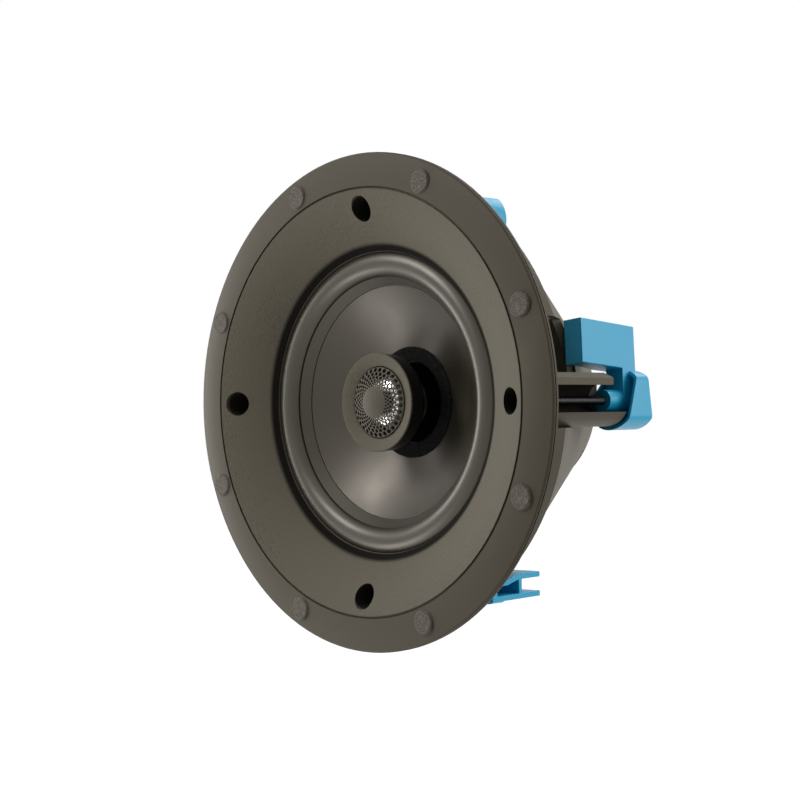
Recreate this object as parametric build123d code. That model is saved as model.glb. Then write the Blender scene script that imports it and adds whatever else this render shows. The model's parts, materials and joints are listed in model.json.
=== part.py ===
from build123d import *
from math import asin, cos, radians, sin, tan
import os

# Two-way ceiling speaker, in millimetres.
# The origin is the centre of the flange's rear face, which seats on the ceiling.
# -Y is the way the front fires, +Y runs up into the ceiling void, and +Z is up in the picture.

# Flange
FLANGE_R = 116.5
FLANGE_T = 3.5
FLANGE_CROWN = 1.4
RIM_ROUND = 0.8
RIM_GROOVE_DEPTH = 0.5
RIM_GROOVE_WIDTH = 0.7
RIM_GROOVE_Y = -1.9
FACE_GROOVE_INSET = 16.4
FACE_GROOVE_WIDTH = 1.1
FACE_GROOVE_DEPTH = 1.0

# Bowl and woofer seat
BOWL_EDGE_WIDTH = 1.3
BOWL_EDGE_Y = 8.2
BOWL_MID_Y = 0.1
BOWL_EDGE_ROUND = 1.9
WALL = 3.0
SEAT_WIDTH = 4.8
SEAT_Y = 10.2

# Body wall behind the flange, and the four conical legs
BODY_INSET = 12.5
BODY_DEPTH = 20.5
REAR_R = 45.2
REAR_Y = 116.5
HUB_LENGTH = 8.0
LEG_COUNT = 4
LEG_HALF_ANGLE = 28.0
SHELF_WIDTH = 15.0
SPIDER_INSET = 33.0
SHELF_Y = 50.0
MOTOR_SEAT_T = 4.0
MOTOR_SEAT_MARGIN = 8.0

# Clamp towers
SCREW_INSET = 25.7
TOWER_R = 12.0
CHANNEL_R = 7.4
SLOT_LOW = -5.3
SLOT_HIGH = 7.0
RAIL_TOP = 12.5
RAIL_FACE = 7.4
RAIL_BEVEL = 2.3
UPPER_RAIL_END = 61.5
UPPER_RAIL_POINT = 4.0
LOWER_RAIL_END = 66.4
CHANNEL_BACK_END = 68.5
HEAD_WELL_R = 5.9
HEAD_WELL_FLOOR = 13.0
TOWER_FLOOR_T = 4.0

# Pocket in each leg, where the stowed clamp arm lies
POCKET_TOP = 37.0
POCKET_FRONT = 6.2
POCKET_REAR = 54.0
POCKET_GAP = 1.0

# Clamp screws and the clips that keep them in the tower floor
SCREW_R = 2.0
SCREW_CLEARANCE = 0.08
SCREW_HOLE_GAP = 0.4
HEAD_R = 4.3
HEAD_T = 2.6
CROSS_WIDTH = 1.1
CROSS_LENGTH = 5.0
CROSS_DEPTH = 1.5
SCREW_END = 85.5
CLIP_R = 4.2
CLIP_T = 0.8
SCREW_PLAY = 0.1

# Dog-leg clamps, stowed past the tangent, the lowest one less, and leaning with their tips to the rear
STOW_ANGLE = 6.5
LOW_STOW_ANGLE = 0.6
ARM_LEAN = 4.8
BOSS_R = 4.9
BOSS_FRONT = 62.5
CLAMP_REAR = 82.6
LIMB_T = 9.9
ARM_OUT = 4.9
ARM_IN = 5.0
ARM_SWELL = 2.2
SWELL_START = 56.0
SWELL_END = 64.0
ARM_LOW = 14.0
ARM_HIGH = 34.5
ARM_FRONT = 43.6
ARM_WALL = 2.7
REAR_POCKET_DEPTH = 15.0
GRIP_WALL = 4.0
GRIP_RIDGES = 9
GRIP_DEPTH = 0.7
SKIRT_GAP = 0.4
SKIRT_WALL = 1.4
SKIRT_FRONT = 66.7
SKIRT_SLOPE_ANGLE = 24.1
SKIRT_END = 87.0
SKIRT_FLAT = 10.1
SKIRT_CORNER = 3.5
SKIRT_ROUND = 1.5

# Woofer
CONE_INSET = 57.0
CONE_RIM_Y = 12.7
CONE_RIM_WIDTH = 3.9
CONE_GROOVE_Y = 16.7
CONE_GROOVE_STEP = 0.5
CONE_MID_SHARE = 0.63
CONE_MID_Y = 24.6
CONE_NECK_Y = 33.2
CONE_T = 0.8
SURROUND_WIDTH = 9.1
SURROUND_LAND = 2.6
SURROUND_OUT_Y = 9.2
SURROUND_RISE = 5.0
SURROUND_T = 0.8
DAMPING_RING_OUT_R = 26.6
DAMPING_RING_IN_R = 20.0
DAMPING_RING_PROUD = 0.8
FORMER_R = 19.3
FORMER_T = 0.3
FORMER_END = 70.0
COIL_T = 0.5
COIL_LENGTH = 11.0
SPIDER_ROLLS = 4
SPIDER_RISE = 1.4
SPIDER_T = 0.6
SPIDER_LAND = 4.0

# Motor
MOTOR_Y = 62.0
TOP_PLATE_R = 38.0
TOP_PLATE_T = 5.0
COIL_GAP = 0.5
MAGNET_T = 15.0
MAGNET_BORE_R = 24.0
BACK_PLATE_GAP = 1.5
BACK_PLATE_T = 6.0
BACK_PLATE_BEVEL = 2.5
POLE_R = 18.2
MOTOR_SCREW_R = 2.0
MOTOR_SCREW_HEAD_R = 3.6
MOTOR_SCREW_CIRCLE_R = 31.0
MOTOR_SCREW_COUNT = 4

# Tweeter pod on its hollow post
POD_R = 22.9
POD_LIP_Y = 11.6
POD_SHOULDER_Y = 15.0
POD_NECK_R = 16.2
POD_NECK_Y = 26.0
POD_FOOT_R = 12.0
POST_R = 5.6
POST_BORE_R = 3.4
POST_GAP = 0.05
NUT_R = 9.0
NUT_T = 4.5

# Tweeter
TRIM_R = 23.4
TRIM_FRONT_Y = 6.9
TRIM_OPENING_R = 17.15
TRIM_OPENING_Y = 9.05
TRIM_ROUND = 0.5
LENS_APEX_Y = 4.6
LENS_T = 0.7
LENS_DISC_R = 7.5
LENS_GAP = 0.1
LENS_HOLE_ROWS = 3
LENS_HOLES_PER_ROW = 24
LENS_HOLE_R = 0.9
LENS_HOLE_SIDES = 6
DOME_R = 12.7
DOME_RISE = 3.4
DOME_T = 0.3
DOME_Y = 12.6
TWEETER_COIL_LENGTH = 2.4
TWEETER_COIL_T = 0.3
TWEETER_GAP = 0.3
CUP_WALL = 1.6
CUP_FLOOR = 2.0
TWEETER_MAGNET_T = 2.5
TWEETER_POLE_T = 2.0

# Grille magnets, pressed into the flange
GRILLE_MAGNET_R = 5.6
GRILLE_MAGNET_INSET = 9.2
GRILLE_MAGNET_PROUD = 1.5
GRILLE_MAGNET_SUNK = 1.2
GRILLE_MAGNET_BEVEL = 0.7
GRILLE_MAGNET_COUNT = 8

# Rear cover, crossover and terminals
COVER_WALL = 2.0
COVER_GAP = 0.2
COVER_DEPTH = 22.0
BOARD_GAP = 4.0
BOARD_T = 1.6
BOARD_STANDING = 10.0
STANDOFF_R = 3.0
STANDOFF_INSET = 6.0
STANDOFF_COUNT = 3
STANDOFF_START_ANGLE = 90.0
INDUCTOR_R = 8.5
INDUCTOR_T = 7.0
CAPACITOR_R = 3.6
CAPACITOR_LENGTH = 18.0
TERMINAL_WIDTH = 30.0
TERMINAL_HEIGHT = 17.0
TERMINAL_PROUD = 4.0
TERMINAL_LIP = 2.0
TERMINAL_DEPTH = 9.0
LEVER_PITCH = 13.0
LEVER_WIDTH = 9.0
LEVER_HEIGHT = 6.0
LEVER_DEPTH = 5.0
LEVER_PROUD = 2.5
LEVER_TRAVEL = 2.0
LEVER_GAP = 0.3
LEVER_Z = 3.6
WIRE_HOLE_R = 1.7
WIRE_HOLE_Z = -4.2

# Sizes that follow from those above
FACE_GROOVE_R = FLANGE_R - FACE_GROOVE_INSET
BODY_R = FLANGE_R - BODY_INSET
SCREW_CIRCLE_R = FLANGE_R - SCREW_INSET
GRILLE_MAGNET_CIRCLE_R = FLANGE_R - GRILLE_MAGNET_INSET
CONE_RIM_R = FLANGE_R - CONE_INSET
SURROUND_OUT_R = CONE_RIM_R + SURROUND_WIDTH
BORE_R = SURROUND_OUT_R + SURROUND_LAND
BOWL_EDGE_R = BORE_R + BOWL_EDGE_WIDTH
BOWL_MID_R = (FACE_GROOVE_R + BOWL_EDGE_R) / 2
CONE_SLOPE = (BODY_R - REAR_R) / (REAR_Y - BODY_DEPTH)
TOWER_FLOOR_Y = HEAD_WELL_FLOOR + TOWER_FLOOR_T
SKIRT_IN_R = TOWER_R + SKIRT_GAP
SKIRT_R = SKIRT_IN_R + SKIRT_WALL
FORMER_OUT_R = FORMER_R + FORMER_T
COIL_R = FORMER_OUT_R + COIL_T
GAP_R = COIL_R + COIL_GAP
SPIDER_OUT_R = BODY_R - CONE_SLOPE * (SHELF_Y - BODY_DEPTH) - SPIDER_INSET
CONE_GROOVE_R = CONE_RIM_R - CONE_RIM_WIDTH
CONE_MID_R = FORMER_OUT_R + CONE_MID_SHARE * (CONE_GROOVE_R - FORMER_OUT_R)
MAGNET_Y = MOTOR_Y + TOP_PLATE_T
BACK_PLATE_Y = MAGNET_Y + MAGNET_T
MOTOR_END = BACK_PLATE_Y + BACK_PLATE_T
COVER_END = MOTOR_END + COVER_DEPTH
BOARD_Y = MOTOR_END + BOARD_STANDING
CUP_IN_R = DOME_R + TWEETER_COIL_T + TWEETER_GAP
CUP_R = CUP_IN_R + CUP_WALL
TWEETER_POLE_Y = DOME_Y + 2 * TWEETER_GAP
TWEETER_MAGNET_Y = TWEETER_POLE_Y + TWEETER_POLE_T
CUP_FLOOR_Y = TWEETER_MAGNET_Y + TWEETER_MAGNET_T
CUP_REAR = CUP_FLOOR_Y + CUP_FLOOR
POLE_DISC_R = DOME_R - DOME_T - TWEETER_GAP
LENS_R = TRIM_OPENING_R - LENS_GAP
COVER_R = REAR_R - WALL - COVER_GAP
MAGNET_R = COVER_R
BACK_PLATE_R = COVER_R - COVER_WALL - BACK_PLATE_GAP
BOARD_R = COVER_R - COVER_WALL - BOARD_GAP
STANDOFF_CIRCLE_R = BOARD_R - STANDOFF_INSET


def save(name, shape):
    """Write one sub-part."""
    shape.label = name
    export_step(shape, f"parts/{name}.step")


def turned(points):
    """Turn a closed outline of (radius, y) points about the speaker's axis."""
    return revolve(make_face(Polyline(*points, close=True)), Axis.Y)


def outline(curves):
    """Face inside a closed run of lines and arcs."""
    return make_face([edge for curve in curves for edge in curve.edges()])


def turned_edges(curves):
    """Turn a closed run of lines and arcs about the speaker's axis."""
    return revolve(outline(curves), Axis.Y)


def tube(outer, inner, front, rear):
    """A plain ring about the speaker's axis."""
    return turned([(inner, front), (outer, front), (outer, rear), (inner, rear)])


def rod(radius, front, rear, x=0.0, z=0.0):
    """A round bar along Y."""
    bar = Cylinder(radius, rear - front, align=(Align.CENTER, Align.CENTER, Align.MIN))
    return Pos(x, front, z) * Rot(-90, 0, 0) * bar


def block(x0, x1, y0, y1, z0, z1):
    """A box between two corners."""
    return Pos((x0 + x1) / 2, (y0 + y1) / 2, (z0 + z1) / 2) * Box(x1 - x0, y1 - y0, z1 - z0)


def about_axis(shape, angle):
    """The shape turned about the speaker's axis, from +X towards +Z."""
    return Rot(0, -angle, 0) * shape


def around(shape, count, start=0.0):
    """Copies of the shape, evenly spaced about the speaker's axis."""
    return [about_axis(shape, start + 360 / count * i) for i in range(count)]


def leg_radius(y):
    """Outer radius of the conical legs at a depth."""
    return BODY_R - CONE_SLOPE * (y - BODY_DEPTH)


def bowl():
    """Flange, bowl, woofer seat and body wall, turned from one section."""
    rim = FLANGE_R
    groove_front = RIM_GROOVE_Y - RIM_GROOVE_WIDTH / 2
    groove_back = RIM_GROOVE_Y + RIM_GROOVE_WIDTH / 2
    groove_floor = rim - RIM_GROOVE_DEPTH
    face_out = FACE_GROOVE_R + FACE_GROOVE_WIDTH / 2
    face_in = FACE_GROOVE_R - FACE_GROOVE_WIDTH / 2
    crown = -FLANGE_T - FLANGE_CROWN
    face_mid = ((rim + face_out) / 2, -FLANGE_T - 0.8 * FLANGE_CROWN)
    seat_in = BORE_R - SEAT_WIDTH
    back_r = BOWL_EDGE_R + WALL
    body_in = BODY_R - WALL
    start = Polyline(
        (BODY_R, 0), (rim - RIM_ROUND / 2, 0), (rim, -RIM_ROUND / 2), (rim, groove_back),
        (groove_floor, groove_back), (groove_floor, groove_front), (rim, groove_front),
        (rim, RIM_ROUND - FLANGE_T), (rim - RIM_ROUND, -FLANGE_T),
    )
    face = ThreePointArc((rim - RIM_ROUND, -FLANGE_T), face_mid, (face_out, crown))
    groove = Polyline(
        (face_out, crown), (face_out, crown + FACE_GROOVE_DEPTH),
        (face_in, crown + FACE_GROOVE_DEPTH), (face_in, crown),
    )
    sweep = ThreePointArc((face_in, crown), (BOWL_MID_R, BOWL_MID_Y), (BOWL_EDGE_R, BOWL_EDGE_Y))
    edge = RadiusArc((BOWL_EDGE_R, BOWL_EDGE_Y), (BORE_R, SEAT_Y - WALL / 8), BOWL_EDGE_ROUND)
    seat = Polyline(
        (BORE_R, SEAT_Y - WALL / 8), (BORE_R, SEAT_Y), (seat_in, SEAT_Y),
        (seat_in, SEAT_Y + WALL), (back_r, SEAT_Y + WALL),
    )
    back = ThreePointArc(
        (back_r, SEAT_Y + WALL), (BOWL_MID_R + WALL / 2, BOWL_MID_Y + WALL), (body_in, WALL / 2)
    )
    wall = Polyline((body_in, WALL / 2), (body_in, BODY_DEPTH), (BODY_R, BODY_DEPTH), (BODY_R, 0))
    return turned_edges([start, face, groove, sweep, edge, seat, back, wall])


def space_before_bowl():
    """Everything in front of the bowl's wall, for trimming what stands behind it."""
    back = 0.5 * WALL
    sweep = ThreePointArc(
        (BODY_R, back - FLANGE_T), (BOWL_MID_R, BOWL_MID_Y + back), (BORE_R, BOWL_EDGE_Y + back)
    )
    rest = Polyline(
        (BORE_R, BOWL_EDGE_Y + back), (BORE_R, -FLANGE_R / 2), (BODY_R, -FLANGE_R / 2),
        (BODY_R, back - FLANGE_T),
    )
    return turned_edges([sweep, rest])


def leg_wedge():
    """The sector that one leg fills, pointing along +X."""
    reach = 2 * FLANGE_R
    half = reach * tan(radians(LEG_HALF_ANGLE))
    sector = extrude(make_face(Polyline((0, 0), (reach, -half), (reach, half), close=True)), REAR_Y)
    return Rot(-90, 0, 0) * sector


def legs():
    """Four broad legs, joined by the spider shelf, the motor seat and the rear hub."""
    inner = BODY_R - WALL
    root = BODY_DEPTH - WALL
    hub_in = REAR_R - WALL
    shelf_rear = SHELF_Y + WALL
    shelf_in = SPIDER_OUT_R - SPIDER_LAND
    seat_front = MOTOR_Y - MOTOR_SEAT_T
    seat_in = MOTOR_SCREW_CIRCLE_R - SPIDER_LAND
    shell = turned([
        (inner, root), (BODY_R, root), (BODY_R, BODY_DEPTH), (REAR_R, REAR_Y), (hub_in, REAR_Y),
        (hub_in, REAR_Y - WALL), (inner - WALL / 4, BODY_DEPTH),
    ])
    shelf = tube(leg_radius(shelf_rear) - WALL / 2, shelf_in, SHELF_Y, shelf_rear)
    seat = tube(leg_radius(MOTOR_Y) - WALL / 2, seat_in, seat_front, MOTOR_Y)
    leg = leg_wedge() & (shell + shelf + seat)
    rings = tube(SPIDER_OUT_R + SHELF_WIDTH / 2, shelf_in, SHELF_Y, shelf_rear)
    rings += tube(TOP_PLATE_R + MOTOR_SEAT_MARGIN, seat_in, seat_front, MOTOR_Y)
    rings += tube(REAR_R, hub_in, REAR_Y - HUB_LENGTH, REAR_Y)
    for copy in around(leg, LEG_COUNT):
        rings += copy
    return rings


def tower():
    """One clamp tower: a post behind the bowl, slotted outward, with one long rail and one short."""
    axis = SCREW_CIRCLE_R
    post = rod(TOWER_R, -FLANGE_T, UPPER_RAIL_END, axis)
    long_rail = rod(TOWER_R, UPPER_RAIL_END, LOWER_RAIL_END, axis)
    post += long_rail & block(0, 2 * axis, 0, REAR_Y, -2 * TOWER_R, SLOT_LOW)
    channel_back = rod(TOWER_R, UPPER_RAIL_END, CHANNEL_BACK_END, axis)
    post += channel_back & block(0, axis - ARM_IN - ARM_SWELL - SKIRT_GAP, 0, REAR_Y, -TOWER_R, TOWER_R)
    side = make_face(Polyline(
        (0, 0), (UPPER_RAIL_END, 0), (UPPER_RAIL_END, RAIL_TOP - UPPER_RAIL_POINT / 2),
        (UPPER_RAIL_END - UPPER_RAIL_POINT, RAIL_TOP), (0, RAIL_TOP), close=True,
    ))
    rail = Pos(axis - CHANNEL_R, 0, 0) * extrude(Plane.YZ * side, CHANNEL_R + RAIL_FACE)
    outer_top = rail.edges().filter_by(Axis.Y).group_by(Axis.X)[-1].sort_by(Axis.Z)[-1]
    rail = chamfer(outer_top, RAIL_BEVEL)
    post += rail - space_before_bowl()
    post -= space_before_bowl()
    post -= rod(CHANNEL_R, TOWER_FLOOR_Y, REAR_Y, axis)
    post -= block(axis, 2 * axis, TOWER_FLOOR_Y, REAR_Y, SLOT_LOW, SLOT_HIGH)
    post -= block(axis + RAIL_FACE, 2 * axis, POCKET_FRONT, REAR_Y, SLOT_LOW, 2 * TOWER_R)
    return post


def arm_pocket():
    """The opening that leaves room for the tower and for the stowed clamp arm."""
    inner = SCREW_CIRCLE_R - ARM_IN - ARM_HIGH * sin(radians(STOW_ANGLE)) - POCKET_GAP
    return block(inner, 2 * BODY_R, POCKET_FRONT, POCKET_REAR, -TOWER_R, POCKET_TOP)


def baffle_frame():
    """Baffle, basket and clamp towers, moulded in one."""
    axis = SCREW_CIRCLE_R
    swing = rod(SKIRT_R + SKIRT_GAP, SKIRT_FRONT - SKIRT_GAP, REAR_Y, axis)
    body = bowl() + legs()
    for cut in around(arm_pocket() + swing, LEG_COUNT):
        body -= cut
    for post in around(tower(), LEG_COUNT):
        body += post
    well = rod(HEAD_WELL_R, -FLANGE_R, HEAD_WELL_FLOOR, axis)
    well += rod(SCREW_R + SCREW_HOLE_GAP, 0, TOWER_FLOOR_Y + WALL, axis)
    for cut in around(well, LEG_COUNT):
        body -= cut
    bores = rod(GRILLE_MAGNET_R, -FLANGE_R, magnet_floor(), GRILLE_MAGNET_CIRCLE_R)
    for cut in around(bores, GRILLE_MAGNET_COUNT, 180 / GRILLE_MAGNET_COUNT):
        body -= cut
    hole = rod(MOTOR_SCREW_R + SCREW_HOLE_GAP / 2, SHELF_Y, MOTOR_Y, MOTOR_SCREW_CIRCLE_R)
    for cut in around(hole, MOTOR_SCREW_COUNT, 180 / MOTOR_SCREW_COUNT):
        body -= cut
    return body


def magnet_floor():
    """Depth of the pockets that hold the grille magnets."""
    return -FLANGE_T - FLANGE_CROWN / 2 + GRILLE_MAGNET_SUNK


def grille_magnet():
    """A bevelled disc magnet, standing a little proud of the flange."""
    front = magnet_floor() - GRILLE_MAGNET_SUNK - GRILLE_MAGNET_PROUD
    disc = rod(GRILLE_MAGNET_R, front, magnet_floor(), GRILLE_MAGNET_CIRCLE_R)
    return chamfer(disc.edges().group_by(Axis.Y)[0], GRILLE_MAGNET_BEVEL)


def surround():
    """Half-roll edge between the cone's rim and the woofer seat, of one thickness all over."""
    t = SURROUND_T
    front = [
        (SURROUND_OUT_R, SURROUND_OUT_Y),
        ((CONE_RIM_R + SURROUND_OUT_R) / 2 + t, (CONE_RIM_Y + SURROUND_OUT_Y) / 2 - SURROUND_RISE),
        (CONE_RIM_R, CONE_RIM_Y - t),
    ]
    cx, cy = circle_centre(*front)
    ball = ((CONE_RIM_R - cx) ** 2 + (front[2][1] - cy) ** 2) ** 0.5
    share = (ball - t) / ball
    back = [(cx + share * (x - cx), cy + share * (y - cy)) for x, y in front]
    land = BORE_R - POST_GAP
    lip_y = CONE_RIM_Y + CONE_T
    inner = Polyline(front[2], (CONE_RIM_R, lip_y), (back[2][0], lip_y), back[2])
    foot = Polyline(back[0], (back[0][0], SEAT_Y), (land, SEAT_Y), (land, SURROUND_OUT_Y), front[0])
    return turned_edges([ThreePointArc(*front), inner, ThreePointArc(*back[::-1]), foot])


def cone():
    """Curved paper cone with a steeper rim and a fine step between the two."""
    t = CONE_T
    step = CONE_GROOVE_STEP
    neck = FORMER_OUT_R
    edge_r = CONE_GROOVE_R
    edge_y = CONE_GROOVE_Y
    front = ThreePointArc(
        (edge_r - step, edge_y + step), (CONE_MID_R, CONE_MID_Y), (neck, CONE_NECK_Y)
    )
    back = ThreePointArc(
        (neck, CONE_NECK_Y + 2 * t), (CONE_MID_R, CONE_MID_Y + t), (edge_r - step, edge_y + step + t)
    )
    tail = Line((neck, CONE_NECK_Y), (neck, CONE_NECK_Y + 2 * t))
    rim = Polyline(
        (edge_r - step, edge_y + step + t), (CONE_RIM_R, CONE_RIM_Y + t), (CONE_RIM_R, CONE_RIM_Y),
        (edge_r, edge_y), (edge_r, edge_y + step / 2), (edge_r - step, edge_y + step),
    )
    return turned_edges([front, tail, back, rim])


def circle_centre(start, middle, end):
    """Centre of the circle through three points."""
    x0, y0 = start
    x1, y1 = middle
    x2, y2 = end
    d = 2 * (x0 * (y1 - y2) + x1 * (y2 - y0) + x2 * (y0 - y1))
    s0, s1, s2 = x0**2 + y0**2, x1**2 + y1**2, x2**2 + y2**2
    cx = (s0 * (y1 - y2) + s1 * (y2 - y0) + s2 * (y0 - y1)) / d
    cy = (s0 * (x2 - x1) + s1 * (x0 - x2) + s2 * (x1 - x0)) / d
    return cx, cy


def cone_front_y(r):
    """Depth of the cone's front face at a radius, on the arc through its three points."""
    start = (CONE_GROOVE_R - CONE_GROOVE_STEP, CONE_GROOVE_Y + CONE_GROOVE_STEP)
    middle = (CONE_MID_R, CONE_MID_Y)
    cx, cy = circle_centre(start, middle, (FORMER_OUT_R, CONE_NECK_Y))
    ball = ((start[0] - cx) ** 2 + (start[1] - cy) ** 2) ** 0.5
    side = 1 if CONE_MID_Y > cy else -1
    return cy + side * (ball**2 - (r - cx) ** 2) ** 0.5


def damping_ring():
    """Felt ring round the cone's neck, lying on the cone."""
    out_y = cone_front_y(DAMPING_RING_OUT_R)
    in_y = cone_front_y(DAMPING_RING_IN_R)
    front = out_y - DAMPING_RING_PROUD
    return turned([
        (DAMPING_RING_IN_R, front), (DAMPING_RING_OUT_R, front), (DAMPING_RING_OUT_R, out_y),
        (DAMPING_RING_IN_R, in_y),
    ])


def coil_front():
    """Front end of the voice coil, centred in the top plate's gap."""
    return MOTOR_Y + TOP_PLATE_T / 2 - COIL_LENGTH / 2


def spider():
    """Corrugated disc that centres the voice coil former."""
    t = SPIDER_T
    land_r = SPIDER_OUT_R - SPIDER_LAND
    foot_r = FORMER_OUT_R + SPIDER_T
    pitch = (land_r - foot_r) / SPIDER_ROLLS
    front_y = SHELF_Y - t
    edges = []
    for y, order in ((front_y, 1), (SHELF_Y, -1)):
        row = []
        for i in range(SPIDER_ROLLS):
            r0 = foot_r + i * pitch
            peak = y - SPIDER_RISE if i % 2 else y - SPIDER_RISE / 2
            row.append(ThreePointArc((r0, y), (r0 + pitch / 2, peak), (r0 + pitch, y)))
        edges += row
    ends = [
        Polyline((land_r, front_y), (SPIDER_OUT_R, front_y), (SPIDER_OUT_R, SHELF_Y), (land_r, SHELF_Y)),
        Polyline((foot_r, front_y), (FORMER_OUT_R, front_y), (FORMER_OUT_R, SHELF_Y), (foot_r, SHELF_Y)),
    ]
    return turned_edges(edges + ends)


def back_plate():
    """Back plate and pole, turned in one, bored for the tweeter post."""
    plate_r = BACK_PLATE_R
    bevel = BACK_PLATE_BEVEL
    bore = POST_R + POST_GAP
    return turned([
        (bore, MOTOR_Y), (POLE_R, MOTOR_Y), (POLE_R, BACK_PLATE_Y), (plate_r, BACK_PLATE_Y),
        (plate_r, MOTOR_END - bevel), (plate_r - bevel, MOTOR_END), (bore, MOTOR_END),
    ])


def top_plate():
    """Front plate of the magnet system, with tapped holes for the motor screws."""
    plate = tube(TOP_PLATE_R, GAP_R, MOTOR_Y, MAGNET_Y)
    hole = rod(MOTOR_SCREW_R, MOTOR_Y, MAGNET_Y, MOTOR_SCREW_CIRCLE_R)
    for cut in around(hole, MOTOR_SCREW_COUNT, 180 / MOTOR_SCREW_COUNT):
        plate -= cut
    return plate


def motor_screws():
    """Screws that hold the magnet system to the basket."""
    seat_front = MOTOR_Y - MOTOR_SEAT_T
    head = rod(MOTOR_SCREW_HEAD_R, seat_front - MOTOR_SCREW_R, seat_front, MOTOR_SCREW_CIRCLE_R)
    shank = rod(MOTOR_SCREW_R, seat_front, MAGNET_Y - SCREW_HOLE_GAP, MOTOR_SCREW_CIRCLE_R)
    return Compound(around(head + shank, MOTOR_SCREW_COUNT, 180 / MOTOR_SCREW_COUNT))


def tweeter_pod():
    """Gloss pod on a tapered neck that stands on the pole."""
    outer = [
        Line((POD_R, POD_LIP_Y), (POD_R, POD_SHOULDER_Y)),
        ThreePointArc(
            (POD_R, POD_SHOULDER_Y), ((POD_R + POD_NECK_R) / 2 - 1, (POD_SHOULDER_Y + POD_NECK_Y) / 2),
            (POD_NECK_R, POD_NECK_Y),
        ),
        Polyline(
            (POD_NECK_R, POD_NECK_Y), (POD_FOOT_R, MOTOR_Y - WALL), (POD_FOOT_R, MOTOR_Y),
            (POST_R + POST_GAP, MOTOR_Y), (POST_R + POST_GAP, CUP_REAR), (CUP_R, CUP_REAR),
            (CUP_R, DOME_Y), (TRIM_OPENING_R + POST_GAP, DOME_Y), (TRIM_OPENING_R + POST_GAP, POD_LIP_Y),
            (POD_R, POD_LIP_Y),
        ),
    ]
    return turned_edges(outer)


def tweeter_post():
    """Hollow post from the pod down through the pole, with room for the tweeter's wires."""
    return tube(POST_R, POST_BORE_R, CUP_REAR, MOTOR_END + NUT_T)


def post_nut():
    """Hexagon nut that holds the pod and the magnet system together."""
    hexagon = extrude(RegularPolygon(NUT_R, 6), NUT_T)
    nut = Pos(0, MOTOR_END, 0) * Rot(-90, 0, 0) * hexagon
    return nut - rod(POST_R + POST_GAP, 0, REAR_Y)


def trim_ring():
    """Smooth ring that slopes in to the tweeter's lens."""
    outer = TRIM_R
    front = TRIM_FRONT_Y
    opening = TRIM_OPENING_R
    rear = POD_LIP_Y
    return turned([
        (opening, TRIM_OPENING_Y), (outer - 2 * TRIM_ROUND, front), (outer, front + TRIM_ROUND),
        (outer, rear), (opening, rear),
    ])


def cap_arc(edge_r, apex_y, rise):
    """Arc of a ball from the axis out to an edge, bulging to the front."""
    ball = (edge_r**2 + rise**2) / (2 * rise)
    half = asin(edge_r / ball) / 2
    middle = (ball * sin(half), apex_y + ball * (1 - cos(half)))
    return ThreePointArc((0, apex_y), middle, (edge_r, apex_y + rise))


def lens():
    """Perforated domed cover over the tweeter, with a plain disc at its centre."""
    t = LENS_T
    apex = LENS_APEX_Y
    edge_y = TRIM_OPENING_Y
    section = [
        cap_arc(LENS_R, apex, edge_y - apex),
        Line((LENS_R, edge_y), (LENS_R, edge_y + t)),
        cap_arc(LENS_R, apex + t, edge_y - apex),
        Line((0, apex + t), (0, apex)),
    ]
    cap = turned_edges(section)
    step = (LENS_R - LENS_DISC_R) / (LENS_HOLE_ROWS + 1)
    cutters = []
    for row in range(LENS_HOLE_ROWS):
        reach = LENS_DISC_R + step * (row + 1)
        start = 180 / LENS_HOLES_PER_ROW * row
        prism = extrude(RegularPolygon(LENS_HOLE_R * reach / LENS_R, LENS_HOLE_SIDES), DOME_Y)
        hole = Pos(reach, 0, 0) * Rot(-90, 0, 0) * prism
        cutters += around(hole, LENS_HOLES_PER_ROW, start)
    return cap - cutters


def dome():
    """Thin domed diaphragm with its coil former."""
    t = DOME_T
    r = DOME_R
    apex = DOME_Y - DOME_RISE
    end = DOME_Y + TWEETER_COIL_LENGTH
    section = [
        cap_arc(r, apex, DOME_RISE - t),
        Polyline((r, DOME_Y - t), (r, end), (r - t, end), (r - t, DOME_Y)),
        cap_arc(r - t, apex + t, DOME_RISE - t),
        Line((0, apex + t), (0, apex)),
    ]
    return turned_edges(section)


def dome_surround():
    """Small half roll round the dome."""
    t = DOME_T
    y = DOME_Y
    land = TRIM_OPENING_R
    inner_r = DOME_R
    roll_r = CUP_R
    mid = (inner_r + roll_r) / 2
    front = ThreePointArc((roll_r, y - t), (mid, y - 4 * t), (inner_r, y - t))
    back = ThreePointArc((inner_r, y), (mid, y - 3 * t), (roll_r, y))
    foot = Polyline((roll_r, y), (land, y), (land, y - t), (roll_r, y - t))
    return turned_edges([front, Line((inner_r, y - t), (inner_r, y)), back, foot])


def tweeter_cup():
    """Steel cup that closes the tweeter's magnet system."""
    front = DOME_Y + TWEETER_GAP
    return turned([
        (0, CUP_FLOOR_Y), (CUP_IN_R, CUP_FLOOR_Y), (CUP_IN_R, front), (CUP_R, front), (CUP_R, CUP_REAR),
        (0, CUP_REAR),
    ])


def tweeter_magnet():
    """Disc magnet inside the cup."""
    return rod(POLE_DISC_R - TWEETER_GAP, TWEETER_MAGNET_Y, CUP_FLOOR_Y)


def tweeter_pole():
    """Steel disc on the tweeter magnet, inside the coil."""
    return rod(POLE_DISC_R, TWEETER_POLE_Y, TWEETER_MAGNET_Y)


def tweeter_coil():
    """Winding on the dome's former."""
    rear = DOME_Y + TWEETER_COIL_LENGTH
    return tube(DOME_R + TWEETER_COIL_T, DOME_R, rear - TWEETER_COIL_LENGTH / 2, rear)


def skirt_section(radius, flat, corner):
    """Disc with a flat on its outward side and rounded corners beside it."""
    disc = Circle(radius) & Pos(flat - 2 * radius, 0) * Rectangle(4 * radius, 4 * radius)
    return fillet(disc.vertices().filter_by_position(Axis.X, flat - corner, flat + corner), corner)


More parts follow.
